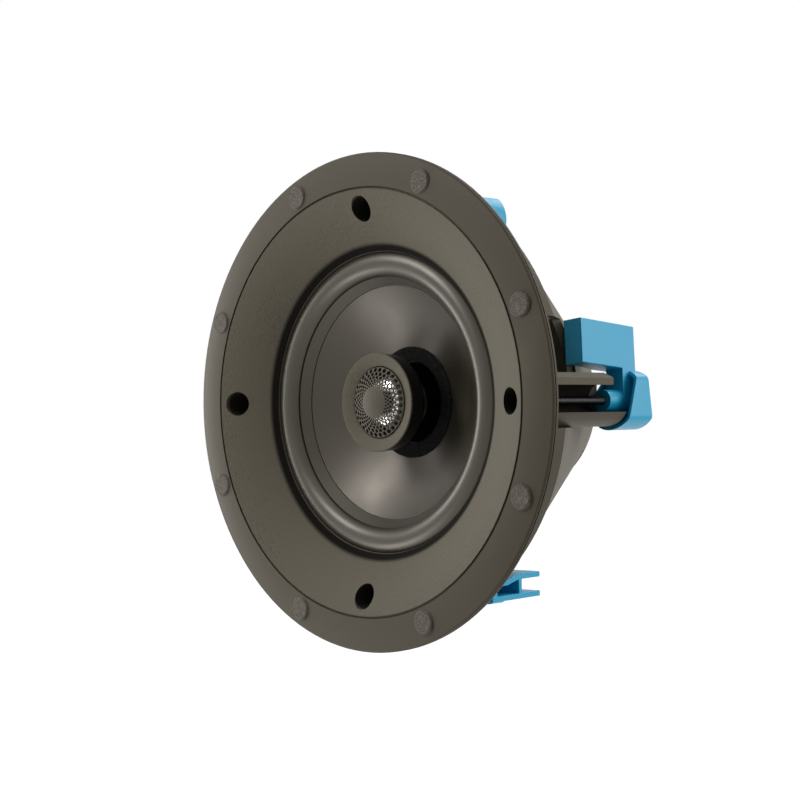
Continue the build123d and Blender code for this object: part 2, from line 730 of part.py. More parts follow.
def clamp_skirt():
    """Cup with an outward flat, cut on a slope, that wraps the rail's end and closes behind the boss."""
    floor_y = CLAMP_REAR - SKIRT_WALL
    outer = Rot(90, 0, 0) * extrude(skirt_section(SKIRT_R, SKIRT_FLAT, SKIRT_CORNER), -SKIRT_END)
    outer = fillet(outer.edges().group_by(Axis.Y)[-1], SKIRT_ROUND)
    inner = skirt_section(SKIRT_IN_R, SKIRT_FLAT - SKIRT_WALL, SKIRT_CORNER - SKIRT_WALL)
    cup = outer - Rot(90, 0, 0) * extrude(inner, -floor_y)
    slope = block(-2 * SKIRT_R, 2 * SKIRT_R, -REAR_Y, 0, -REAR_Y, REAR_Y)
    return cup - Pos(0, SKIRT_FRONT, -SKIRT_R) * Rot(-SKIRT_SLOPE_ANGLE, 0, 0) * slope


def arm_block(thin, front, rear, low, high):
    """Block of the arm, its wall set in by thin; its inner face swells towards the rear."""
    wide = -ARM_IN - ARM_SWELL + thin
    slim = -ARM_IN + thin
    face = make_face(Polyline(
        (ARM_OUT - thin, front), (ARM_OUT - thin, rear), (wide, rear), (wide, max(front, SWELL_END)),
        (slim, SWELL_START), (slim, front), close=True,
    ))
    return Pos(0, 0, low) * extrude(face, high - low)


def clamp_arm():
    """Dog leg: a limb from the boss and an arm with two pockets, a web between and a ribbed grip face."""
    limb_front = CLAMP_REAR - LIMB_T
    web_rear = CLAMP_REAR - REAR_POCKET_DEPTH
    floor_z = ARM_LOW + ARM_WALL
    limb = block(-ARM_IN, ARM_OUT, limb_front, CLAMP_REAR, 0, ARM_HIGH)
    arm = arm_block(0, ARM_FRONT, CLAMP_REAR, ARM_LOW, ARM_HIGH)
    rear_pocket = block(
        ARM_WALL - ARM_IN - ARM_SWELL, ARM_OUT - ARM_WALL, web_rear, 2 * CLAMP_REAR, floor_z, 2 * ARM_HIGH
    )
    front_pocket = arm_block(ARM_WALL, ARM_FRONT + GRIP_WALL, web_rear - ARM_WALL, floor_z, 2 * ARM_HIGH)
    arm = limb + arm - rear_pocket - front_pocket
    pitch = (ARM_IN + ARM_OUT) / GRIP_RIDGES
    groove = Rot(0, 0, 45) * Box(GRIP_DEPTH, GRIP_DEPTH, 4 * ARM_HIGH)
    for i in range(1, GRIP_RIDGES):
        arm -= Pos(pitch * i - ARM_IN, ARM_FRONT, 0) * groove
    pivot = CLAMP_REAR - LIMB_T / 2
    return Pos(0, pivot, 0) * Rot(-ARM_LEAN, 0, 0) * Pos(0, -pivot, 0) * arm


def clamp(stow_angle):
    """One dog-leg clamp at the tower on +X, in its stowed position."""
    boss = rod(BOSS_R, BOSS_FRONT, CLAMP_REAR)
    body = boss + clamp_arm() + clamp_skirt()
    body -= rod(SCREW_R + SCREW_CLEARANCE, 0, REAR_Y)
    return Pos(SCREW_CIRCLE_R, 0, 0) * Rot(0, -stow_angle, 0) * body


def clamp_screw():
    """Long screw with a cross recess, reached from the front through the well."""
    head_rear = HEAD_WELL_FLOOR - SCREW_PLAY
    head_front = head_rear - HEAD_T
    head = rod(HEAD_R, head_front, head_rear)
    head = fillet(head.edges().group_by(Axis.Y)[0], HEAD_T / 3)
    slot = block(
        -CROSS_LENGTH / 2, CROSS_LENGTH / 2, head_front, head_front + CROSS_DEPTH,
        -CROSS_WIDTH / 2, CROSS_WIDTH / 2,
    )
    head -= slot + Rot(0, 90, 0) * slot
    return Pos(SCREW_CIRCLE_R, 0, 0) * (head + rod(SCREW_R, head_rear, SCREW_END))


def screw_clip():
    """Push-on clip behind the tower floor."""
    front = TOWER_FLOOR_Y + SCREW_PLAY
    ring = rod(CLIP_R, front, front + CLIP_T) - rod(SCREW_R, 0, REAR_Y)
    return Pos(SCREW_CIRCLE_R, 0, 0) * ring


def rear_cover():
    """Cover over the back plate, which holds the crossover and the terminals."""
    wall_front = COVER_END - COVER_WALL
    cover = turned([
        (COVER_R - COVER_WALL, BACK_PLATE_Y), (COVER_R, BACK_PLATE_Y), (COVER_R, COVER_END),
        (0, COVER_END), (0, wall_front), (COVER_R - COVER_WALL, wall_front),
    ])
    post = rod(STANDOFF_R, BOARD_Y + BOARD_T, wall_front, STANDOFF_CIRCLE_R)
    for standoff in around(post, STANDOFF_COUNT, STANDOFF_START_ANGLE):
        cover += standoff
    half_w = TERMINAL_WIDTH / 2
    half_h = TERMINAL_HEIGHT / 2
    return cover - block(-half_w, half_w, wall_front, COVER_END, -half_h, half_h)


def crossover_board():
    """Round circuit board on the cover's standoffs."""
    return rod(BOARD_R, BOARD_Y, BOARD_Y + BOARD_T)


def inductor():
    """Air-cored coil on the board."""
    coil = rod(INDUCTOR_R, BOARD_Y - INDUCTOR_T, BOARD_Y) - rod(INDUCTOR_R / 2, 0, REAR_Y)
    return Pos(-BOARD_R / 2 - INDUCTOR_R / 2, 0, 0) * coil


def capacitor(side):
    """Film capacitor lying on the board."""
    length = CAPACITOR_LENGTH
    can = Pos(BOARD_R / 2, BOARD_Y - CAPACITOR_R, side * BOARD_R / 3) * Cylinder(CAPACITOR_R, length)
    return can


def terminal_block():
    """Block of two push terminals, sunk in the cover's rear wall."""
    half_w = TERMINAL_WIDTH / 2 - COVER_GAP
    half_h = TERMINAL_HEIGHT / 2 - COVER_GAP
    rear = COVER_END + TERMINAL_PROUD
    body = block(-half_w, half_w, rear - TERMINAL_DEPTH, rear, -half_h, half_h)
    lip = TERMINAL_LIP
    body += block(-half_w - lip, half_w + lip, COVER_END, rear - lip / 2, -half_h - lip, half_h + lip)
    for side in (-1, 1):
        x = side * LEVER_PITCH / 2
        gap_w = LEVER_WIDTH / 2 + LEVER_GAP
        gap_h = LEVER_HEIGHT / 2 + LEVER_GAP
        floor = rear - LEVER_DEPTH - LEVER_TRAVEL - LEVER_GAP
        body -= block(x - gap_w, x + gap_w, floor, rear, LEVER_Z - gap_h, LEVER_Z + gap_h)
        body -= rod(WIRE_HOLE_R, floor, rear, x, WIRE_HOLE_Z)
    return body


def terminal_lever(side):
    """Push tab that opens one terminal."""
    x = side * LEVER_PITCH / 2
    rear = COVER_END + TERMINAL_PROUD
    half_w = LEVER_WIDTH / 2
    half_h = LEVER_HEIGHT / 2
    low, high = LEVER_Z - half_h, LEVER_Z + half_h
    tab = block(x - half_w, x + half_w, rear - LEVER_DEPTH, rear + LEVER_PROUD, low, high)
    return fillet(tab.edges().group_by(Axis.Y)[-1], LEVER_PROUD / 3)


def main():
    """Build every sub-part and write it out."""
    os.makedirs("parts", exist_ok=True)
    save("baffle_frame", baffle_frame())
    for i, disc in enumerate(around(grille_magnet(), GRILLE_MAGNET_COUNT, 180 / GRILLE_MAGNET_COUNT)):
        save(f"grille_magnet_{i + 1}", disc)
    for i in range(LEG_COUNT):
        turn = 360 / LEG_COUNT * i
        stow_angle = LOW_STOW_ANGLE if i == LEG_COUNT - 1 else STOW_ANGLE
        save(f"clamp_{i + 1}", about_axis(clamp(stow_angle), turn))
        save(f"clamp_screw_{i + 1}", about_axis(clamp_screw(), turn))
        save(f"screw_clip_{i + 1}", about_axis(screw_clip(), turn))
    save("surround", surround())
    save("cone", cone())
    save("damping_ring", damping_ring())
    save("coil_former", tube(FORMER_OUT_R, FORMER_R, CONE_NECK_Y, FORMER_END))
    save("voice_coil", tube(COIL_R, FORMER_OUT_R, coil_front(), coil_front() + COIL_LENGTH))
    save("spider", spider())
    save("top_plate", top_plate())
    save("ring_magnet", tube(MAGNET_R, MAGNET_BORE_R, MAGNET_Y, BACK_PLATE_Y))
    save("back_plate", back_plate())
    save("motor_screws", motor_screws())
    save("tweeter_pod", tweeter_pod())
    save("tweeter_post", tweeter_post())
    save("post_nut", post_nut())
    save("tweeter_trim", trim_ring())
    save("tweeter_lens", lens())
    save("tweeter_dome", dome())
    save("tweeter_coil", tweeter_coil())
    save("dome_surround", dome_surround())
    save("tweeter_pole", tweeter_pole())
    save("tweeter_magnet", tweeter_magnet())
    save("tweeter_cup", tweeter_cup())
    save("rear_cover", rear_cover())
    save("crossover_board", crossover_board())
    save("inductor", inductor())
    save("capacitor_1", capacitor(-1))
    save("capacitor_2", capacitor(1))
    save("terminal_block", terminal_block())
    save("terminal_lever_1", terminal_lever(-1))
    save("terminal_lever_2", terminal_lever(1))


main()
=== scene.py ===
import json
import math

import bmesh
import bpy
import numpy as np
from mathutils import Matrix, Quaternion, Vector


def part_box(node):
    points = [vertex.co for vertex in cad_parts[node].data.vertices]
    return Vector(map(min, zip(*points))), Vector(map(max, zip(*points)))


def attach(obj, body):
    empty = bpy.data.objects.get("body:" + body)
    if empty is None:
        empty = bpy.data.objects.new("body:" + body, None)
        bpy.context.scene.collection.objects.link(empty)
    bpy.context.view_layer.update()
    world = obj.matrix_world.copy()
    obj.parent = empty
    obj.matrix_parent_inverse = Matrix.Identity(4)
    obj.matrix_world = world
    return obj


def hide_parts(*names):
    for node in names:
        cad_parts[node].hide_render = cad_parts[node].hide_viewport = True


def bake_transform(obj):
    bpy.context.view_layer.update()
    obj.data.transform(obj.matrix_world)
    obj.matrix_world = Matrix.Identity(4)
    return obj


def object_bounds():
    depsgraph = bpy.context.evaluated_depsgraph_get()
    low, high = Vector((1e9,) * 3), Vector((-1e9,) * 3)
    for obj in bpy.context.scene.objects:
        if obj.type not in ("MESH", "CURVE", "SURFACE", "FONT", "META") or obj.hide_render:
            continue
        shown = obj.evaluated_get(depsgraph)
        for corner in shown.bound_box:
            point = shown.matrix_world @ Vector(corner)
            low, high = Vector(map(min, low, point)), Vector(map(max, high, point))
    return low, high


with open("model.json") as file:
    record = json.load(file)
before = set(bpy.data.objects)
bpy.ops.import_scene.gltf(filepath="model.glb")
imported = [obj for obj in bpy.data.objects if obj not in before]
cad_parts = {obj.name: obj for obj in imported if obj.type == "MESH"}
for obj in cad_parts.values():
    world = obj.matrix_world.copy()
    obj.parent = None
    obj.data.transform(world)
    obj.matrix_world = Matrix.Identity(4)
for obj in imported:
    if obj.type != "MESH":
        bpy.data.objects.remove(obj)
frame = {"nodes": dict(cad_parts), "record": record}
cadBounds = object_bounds()
nodes = frame["nodes"]
bodies = frame["record"]["behaviour"]["bodies"]
bodyOf = {node: body for body, members in bodies.items() for node in members}
mm = 0.001
perMetre = 1000.0  # millimetres in a metre, for the patterns' scales


# Fitted to the photograph: places in metres, roll in degrees, lens and sensor in millimetres
photoCamera = {
    "place": (0.56865, -0.55606, -0.00179),
    "target": (0.01315, 0.00972, 0.00100),
    "roll": -0.499,
    "lens": 76.38,
    "sensor": 36.0,
}

cameraData = bpy.data.cameras.new("photoCamera")
cameraData.lens = photoCamera["lens"]
cameraData.sensor_width = photoCamera["sensor"]
cameraData.clip_start = 0.01
cameraData.clip_end = 50
camera = bpy.data.objects.new("photoCamera", cameraData)
bpy.context.scene.collection.objects.link(camera)
lookAlong = Vector(photoCamera["target"]) - Vector(photoCamera["place"])
camera.location = photoCamera["place"]
camera.rotation_mode = "QUATERNION"
roll = Quaternion((0, 0, 1), math.radians(photoCamera["roll"]))
camera.rotation_quaternion = lookAlong.to_track_quat("-Z", "Y") @ roll
bpy.context.scene.camera = camera
print("camera set")


# Quads of a grid of points, rows by columns, either way closed on itself or open
def gridFaces(rows, columns, closeRows=True, closeColumns=True):
    i = np.arange(rows if closeRows else rows - 1)
    j = np.arange(columns if closeColumns else columns - 1)
    a, b = (x.ravel() for x in np.meshgrid(i, j, indexing="ij"))
    c, d = (a + 1) % rows, (b + 1) % columns
    return np.stack([a * columns + b, c * columns + b, c * columns + d, a * columns + d], 1)


weldDistance = 2e-7  # metres


# Puts shells of (points, faces) into one mesh, welds doubled points and turns the faces outwards. A piece
# with no body is left unattached.
def addPiece(name, shells, material, body, sharp=35):
    allPoints, allFaces = zip(*shells)
    starts = np.cumsum([0] + [len(points) for points in allPoints])
    points = np.concatenate(allPoints)
    faces = np.concatenate([faces + start for faces, start in zip(allFaces, starts)])
    mesh = bpy.data.meshes.new(name)
    mesh.from_pydata(points.tolist(), [], faces.tolist())
    weld = bmesh.new()
    weld.from_mesh(mesh)
    bmesh.ops.remove_doubles(weld, verts=weld.verts, dist=weldDistance)
    bmesh.ops.recalc_face_normals(weld, faces=weld.faces)
    weld.to_mesh(mesh)
    weld.free()
    mesh.shade_smooth()
    mesh.set_sharp_from_angle(angle=math.radians(sharp))
    piece = bpy.data.objects.new(name, mesh)
    bpy.context.scene.collection.objects.link(piece)
    mesh.materials.append(material)
    if body:
        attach(piece, body)
    return piece


# The piece stands for CAD nodes, which are hidden
def standsFor(piece, *names):
    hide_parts(*names)


# Profile of (radius, depth) turned about the Y axis: (r cos t, y, r sin t), in millimetres
def turned(profile, columns=192):
    radius, depth = np.array(profile, float).T * mm
    angle = np.linspace(0, 2 * np.pi, columns, endpoint=False)
    x = radius[:, None] * np.cos(angle)
    z = radius[:, None] * np.sin(angle)
    y = np.broadcast_to(depth[:, None], x.shape)
    return np.stack([x, y, z], -1)


def shell(grid, closeRows=True, closeColumns=True):
    rows, columns, parts = grid.shape
    return grid.reshape(-1, parts), gridFaces(rows, columns, closeRows, closeColumns)


# Points on the circle through a, b and c, from a to c, the angle going evenly
def arcThrough(a, b, c, count):
    a, b, c = (np.array(p, float) for p in (a, b, c))
    d = 2 * (a[0] * (b[1] - c[1]) + b[0] * (c[1] - a[1]) + c[0] * (a[1] - b[1]))
    s = [p @ p for p in (a, b, c)]
    centre = np.array([
        (s[0] * (b[1] - c[1]) + s[1] * (c[1] - a[1]) + s[2] * (a[1] - b[1])) / d,
        (s[0] * (c[0] - b[0]) + s[1] * (a[0] - c[0]) + s[2] * (b[0] - a[0])) / d,
    ])
    radius = np.linalg.norm(a - centre)
    start, middle, end = (math.atan2(*(p - centre)[::-1]) for p in (a, b, c))
    turn = (end - start) % (2 * math.pi)
    if (middle - start) % (2 * math.pi) > turn:
        turn -= 2 * math.pi
    t = start + turn * np.linspace(0, 1, count)
    return np.stack([centre[0] + radius * np.cos(t), centre[1] + radius * np.sin(t)], 1), centre, radius


# Adds a node, sets its options, and fills its inputs with values or links
def addNode(tree, kind, inputs=None, **options):
    node = tree.nodes.new(kind)
    for option, value in options.items():
        setattr(node, option, value)
    for name, value in (inputs or {}).items():
        if isinstance(value, bpy.types.NodeSocket):
            tree.links.new(value, node.inputs[name])
        else:
            node.inputs[name].default_value = value
    return node


def maths(tree, operation, *values):
    return addNode(tree, "ShaderNodeMath", dict(enumerate(values)), operation=operation).outputs[0]


# Root of the sum of two squares
def lengthOf(tree, a, b):
    squares = maths(tree, "ADD", maths(tree, "MULTIPLY", a, a), maths(tree, "MULTIPLY", b, b))
    return maths(tree, "SQRT", squares)


# A node group with its named sockets: rows of (name, kind, default)
def newGroup(name, inputs, outputs):
    tree = bpy.data.node_groups.new(name, "ShaderNodeTree")
    for label, kind, value in inputs:
        socket = tree.interface.new_socket(label, in_out="INPUT", socket_type="NodeSocket" + kind)
        if value is not None:
            socket.default_value = value
    for label, kind in outputs:
        tree.interface.new_socket(label, in_out="OUTPUT", socket_type="NodeSocket" + kind)
    return tree, tree.nodes.new("NodeGroupInput").outputs, tree.nodes.new("NodeGroupOutput").inputs


# Moulded surface: a fine pebble height and a broad soft patch, their sizes in millimetres
def makeMouldGroup():
    tree, given, out = newGroup(
        "mouldedSurface",
        [("Vector", "Vector", None), ("Grain", "Float", 0.4), ("Patch", "Float", 30.0)],
        [("Height", "Float"), ("Patch", "Float")],
    )
    place = given["Vector"]
    fine = maths(tree, "DIVIDE", perMetre, given["Grain"])
    broad = maths(tree, "DIVIDE", perMetre, given["Patch"])
    pebbles = addNode(tree, "ShaderNodeTexVoronoi", {"Vector": place, "Scale": fine}, feature="SMOOTH_F1")
    fibres = addNode(tree, "ShaderNodeTexNoise", {"Vector": place, "Scale": fine, "Detail": 2.0})
    patches = addNode(tree, "ShaderNodeTexNoise", {"Vector": place, "Scale": broad, "Detail": 4.0})
    height = maths(tree, "ADD", pebbles.outputs["Distance"], fibres.outputs["Fac"])
    tree.links.new(maths(tree, "MULTIPLY", height, 0.5), out["Height"])
    tree.links.new(patches.outputs["Fac"], out["Patch"])
    return tree


# Coarse speckle: random light cells among dark ones, with a rough height
def makeSpeckleGroup():
    tree, given, out = newGroup(
        "speckledSurface",
        [("Vector", "Vector", None), ("Size", "Float", 0.5), ("Share", "Float", 0.4)],
        [("Height", "Float"), ("Speck", "Float")],
    )
    place, softness, cellShare = given["Vector"], 0.12, 0.6
    scale = maths(tree, "DIVIDE", perMetre, given["Size"])
    cells = addNode(tree, "ShaderNodeTexVoronoi", {"Vector": place, "Scale": scale})
    cloudLook = {"Vector": place, "Scale": scale, "Detail": 4.0, "Roughness": 0.7}
    cloud = addNode(tree, "ShaderNodeTexNoise", cloudLook).outputs["Fac"]
    pick = addNode(tree, "ShaderNodeSeparateColor", {"Color": cells.outputs["Color"]}).outputs[0]
    blended = maths(tree, "MULTIPLY", maths(tree, "ADD", pick, cloud), 0.5)
    edge = maths(tree, "SUBTRACT", 1.0, given["Share"])
    ramp = addNode(tree, "ShaderNodeMapRange", {
        "Value": blended,
        "From Min": maths(tree, "SUBTRACT", edge, softness),
        "From Max": maths(tree, "ADD", edge, softness),
    }, interpolation_type="SMOOTHSTEP")
    bumps = maths(tree, "MULTIPLY", cells.outputs["Distance"], cellShare)
    tree.links.new(ramp.outputs[0], out["Speck"])
    tree.links.new(maths(tree, "ADD", cloud, bumps), out["Height"])
    return tree


# Distance from the speaker's axis, and a soft mask that is 1 inside a radius (both in millimetres)
def makeRadiusGroup():
    tree, given, out = newGroup(
        "radiusFromAxis",
        [("Vector", "Vector", None), ("Edge", "Float", 100.0), ("Soft", "Float", 1.0)],
        [("Radius", "Float"), ("Inside", "Float")],
    )
    axes = addNode(tree, "ShaderNodeSeparateXYZ", {"Vector": given["Vector"]}).outputs
    radius = maths(tree, "MULTIPLY", lengthOf(tree, axes["X"], axes["Z"]), perMetre)
    inside = addNode(tree, "ShaderNodeMapRange", {
        "Value": radius,
        "From Min": maths(tree, "SUBTRACT", given["Edge"], given["Soft"]),
        "From Max": maths(tree, "ADD", given["Edge"], given["Soft"]),
        "To Min": 1.0,
        "To Max": 0.0,
    }, interpolation_type="SMOOTHSTEP")
    tree.links.new(radius, out["Radius"])
    tree.links.new(inside.outputs[0], out["Inside"])
    return tree


# Lathe lines: noise that runs in rings round the speaker's axis, its pitch in millimetres
def makeTurnedGroup(radiusGroup):
    tree, given, out = newGroup(
        "turnedLines",
        [("Vector", "Vector", None), ("Pitch", "Float", 0.3)],
        [("Height", "Float")],
    )
    place = given["Vector"]
    radius = addNode(tree, "ShaderNodeGroup", {"Vector": place}, node_tree=radiusGroup).outputs["Radius"]
    depth = addNode(tree, "ShaderNodeSeparateXYZ", {"Vector": place}).outputs["Y"]
    rings = addNode(tree, "ShaderNodeCombineXYZ", {
        "X": maths(tree, "DIVIDE", radius, given["Pitch"]),
        "Y": maths(tree, "DIVIDE", maths(tree, "MULTIPLY", depth, perMetre), given["Pitch"]),
    })
    lines = addNode(tree, "ShaderNodeTexNoise", {"Vector": rings.outputs[0], "Scale": 1.0, "Detail": 3.0})
    tree.links.new(lines.outputs["Fac"], out["Height"])
    return tree


# 1 in the four screw wells and in the clamp channels behind them, 0 elsewhere. The quarters are folded onto
# one: across = the larger of |x| and |z|, along = the smaller, and the distance is from the well's axis.
def makeWellGroup():
    tree, given, out = newGroup(
        "screwWells",
        [
            ("Vector", "Vector", None), ("Axis", "Float", 90.8),
            ("Well", "Float", 6.05), ("Channel", "Float", 7.6),
        ],
        [("Mask", "Float")],
    )
    wellStart, channelStart = -2.0, 15.0
    axes = addNode(tree, "ShaderNodeSeparateXYZ", {"Vector": given["Vector"]}).outputs
    wide, tall = (
        maths(tree, "MULTIPLY", maths(tree, "ABSOLUTE", axes[name]), perMetre) for name in ("X", "Z")
    )
    depth = maths(tree, "MULTIPLY", axes["Y"], perMetre)
    across = maths(tree, "SUBTRACT", maths(tree, "MAXIMUM", wide, tall), given["Axis"])
    reach = lengthOf(tree, across, maths(tree, "MINIMUM", wide, tall))
    parts = []
    for width, start in (("Well", wellStart), ("Channel", channelStart)):
        near = maths(tree, "LESS_THAN", reach, given[width])
        parts.append(maths(tree, "MULTIPLY", near, maths(tree, "GREATER_THAN", depth, start)))
    tree.links.new(maths(tree, "MAXIMUM", *parts), out["Mask"])
    return tree


groups = {
    "mould": makeMouldGroup(),
    "speckle": makeSpeckleGroup(),
    "radius": makeRadiusGroup(),
    "wells": makeWellGroup(),
}
groups["turned"] = makeTurnedGroup(groups["radius"])


# A material with its coordinates and Principled shader; constants go straight onto the shader's sockets
def newMaterial(name, values):
    material = bpy.data.materials.new(name)
    material.use_nodes = True
    tree = material.node_tree
    tree.nodes.clear()
    shader = tree.nodes.new("ShaderNodeBsdfPrincipled")
    out = tree.nodes.new("ShaderNodeOutputMaterial")
    tree.links.new(shader.outputs[0], out.inputs["Surface"])
    sockets = {"specular": "Specular IOR Level", "metallic": "Metallic", "sheen": "Sheen Weight"}
    for key, socket in sockets.items():
        if key in values:
            shader.inputs[socket].default_value = values[key]
    if "gloss" in values:
        shader.inputs["Specular Tint"].default_value = (*values["gloss"], 1)
    place = tree.nodes.new("ShaderNodeTexCoord").outputs["Object"]
    return material, tree, shader, place


def placeGroup(tree, name, inputs):
    return addNode(tree, "ShaderNodeGroup", inputs, node_tree=groups[name]).outputs


maskSpan = (0.3, 0.7)  # the part of a noise mask that carries it from the first tint to the second


# Colour between two tints by a mask, roughness between two values by the same mask
def tintAndPolish(tree, shader, mask, values):
    span = {"Value": mask, "From Min": maskSpan[0], "From Max": maskSpan[1]}
    spread = addNode(tree, "ShaderNodeMapRange", span)
    mix = addNode(tree, "ShaderNodeMix", {"Factor": spread.outputs[0]}, data_type="RGBA")
    firstTint, secondTint = mix.inputs[6], mix.inputs[7]  # the node's two colour sockets
    firstTint.default_value = (*values["colour"], 1)
    secondTint.default_value = (*values["shade"], 1)
    tree.links.new(mix.outputs[2], shader.inputs["Base Color"])
    smooth, rough = values["roughness"]
    polish = addNode(tree, "ShaderNodeMapRange", {**span, "To Min": smooth, "To Max": rough})
    tree.links.new(polish.outputs[0], shader.inputs["Roughness"])


# Paints shade: darkens what feeds Base Color by a mask; share is how much colour is left where the mask is 1
def paintShade(tree, shader, mask, share):
    left = maths(tree, "SUBTRACT", 1.0, maths(tree, "MULTIPLY", mask, 1 - share))
    source = shader.inputs["Base Color"].links[0].from_socket
    dark = addNode(tree, "ShaderNodeVectorMath", {0: source, "Scale": left}, operation="SCALE")
    tree.links.new(dark.outputs[0], shader.inputs["Base Color"])


def roughen(tree, shader, height, values):
    bump = addNode(tree, "ShaderNodeBump", {"Height": height, "Distance": values["depth"] * mm})
    tree.links.new(bump.outputs[0], shader.inputs["Normal"])


# Painted shade in the frame's recesses: a dark ring at the bowl's foot, and dark wells and channels, where
# shade falls; both are also duller
def paintRecessShade(tree, shader, place, values):
    inner = {"Vector": place, "Edge": values["footRing"][0], "Soft": values["footEdge"]}
    outer = {"Vector": place, "Edge": values["footRing"][1], "Soft": values["footFade"]}
    beyond = placeGroup(tree, "radius", inner)["Inside"]
    within = placeGroup(tree, "radius", outer)["Inside"]
    depth = addNode(tree, "ShaderNodeSeparateXYZ", {"Vector": place}).outputs["Y"]
    ring = maths(tree, "MULTIPLY", maths(tree, "SUBTRACT", 1.0, beyond), within)
    ring = maths(tree, "MULTIPLY", ring, maths(tree, "LESS_THAN", depth, values["footDepth"] * mm))
    wells = placeGroup(tree, "wells", {"Vector": place})["Mask"]
    # painted shade: the foot ring and the wells and channels are darkened
    paintShade(tree, shader, ring, values["footPaintedShade"])
    paintShade(tree, shader, wells, values["wellPaintedShade"])
    dull = maths(tree, "MULTIPLY", maths(tree, "MAXIMUM", ring, wells), values["recessDullness"])
    polish = shader.inputs["Roughness"].links[0].from_socket
    tree.links.new(maths(tree, "ADD", polish, dull), shader.inputs["Roughness"])


# Moulded plastic, rubber or paper
def mouldedMaterial(name, values):
    material, tree, shader, place = newMaterial(name, values)
    surface = placeGroup(tree, "mould", {
        "Vector": place, "Grain": values["grain"], "Patch": values["patch"],
    })
    height = surface["Height"]
    if "grainRadius" in values:
        edge = {"Vector": place, "Edge": values["grainRadius"], "Soft": values["grainFade"]}
        inside = placeGroup(tree, "radius", edge)["Inside"]
        full = maths(tree, "MULTIPLY", inside, 1 - values["outerGrain"])
        height = maths(tree, "MULTIPLY", height, maths(tree, "ADD", full, values["outerGrain"]))
    mask = surface["Patch"]
    if "fleck" in values:
        above = maths(tree, "SUBTRACT", height, values["fleckLevel"])
        mask = maths(tree, "ADD", mask, maths(tree, "MULTIPLY", above, values["fleck"]))
    tintAndPolish(tree, shader, mask, values)
    if "footRing" in values:
        paintRecessShade(tree, shader, place, values)
    roughen(tree, shader, height, values)
    return material


# Felt, foam, ferrite and coated magnets
def speckledMaterial(name, values):
    material, tree, shader, place = newMaterial(name, values)
    surface = placeGroup(tree, "speckle", {
        "Vector": place, "Size": values["grain"], "Share": values["share"],
    })
    start, end = maskSpan
    mask = maths(tree, "ADD", start, maths(tree, "MULTIPLY", surface["Speck"], end - start))
    tintAndPolish(tree, shader, mask, values)
    roughen(tree, shader, surface["Height"], values)
    return material


# Turned or wound metal, with lines round the speaker's axis
def turnedMaterial(name, values):
    material, tree, shader, place = newMaterial(name, values)
    lines = placeGroup(tree, "turned", {"Vector": place, "Pitch": values["grain"]})
    tintAndPolish(tree, shader, lines["Height"], values)
    # metal only within brightRadius; beyond it the colour is painted near-black, painted shade on the dome's
    # edge
    if "brightRadius" in values:
        edge = {"Vector": place, "Edge": values["brightRadius"], "Soft": values["brightFade"]}
        bright = placeGroup(tree, "radius", edge)["Inside"]
        tree.links.new(bright, shader.inputs["Metallic"])
        paintShade(tree, shader, maths(tree, "SUBTRACT", 1.0, bright), values["outerPaintedShade"])
    roughen(tree, shader, lines["Height"], values)
    return material


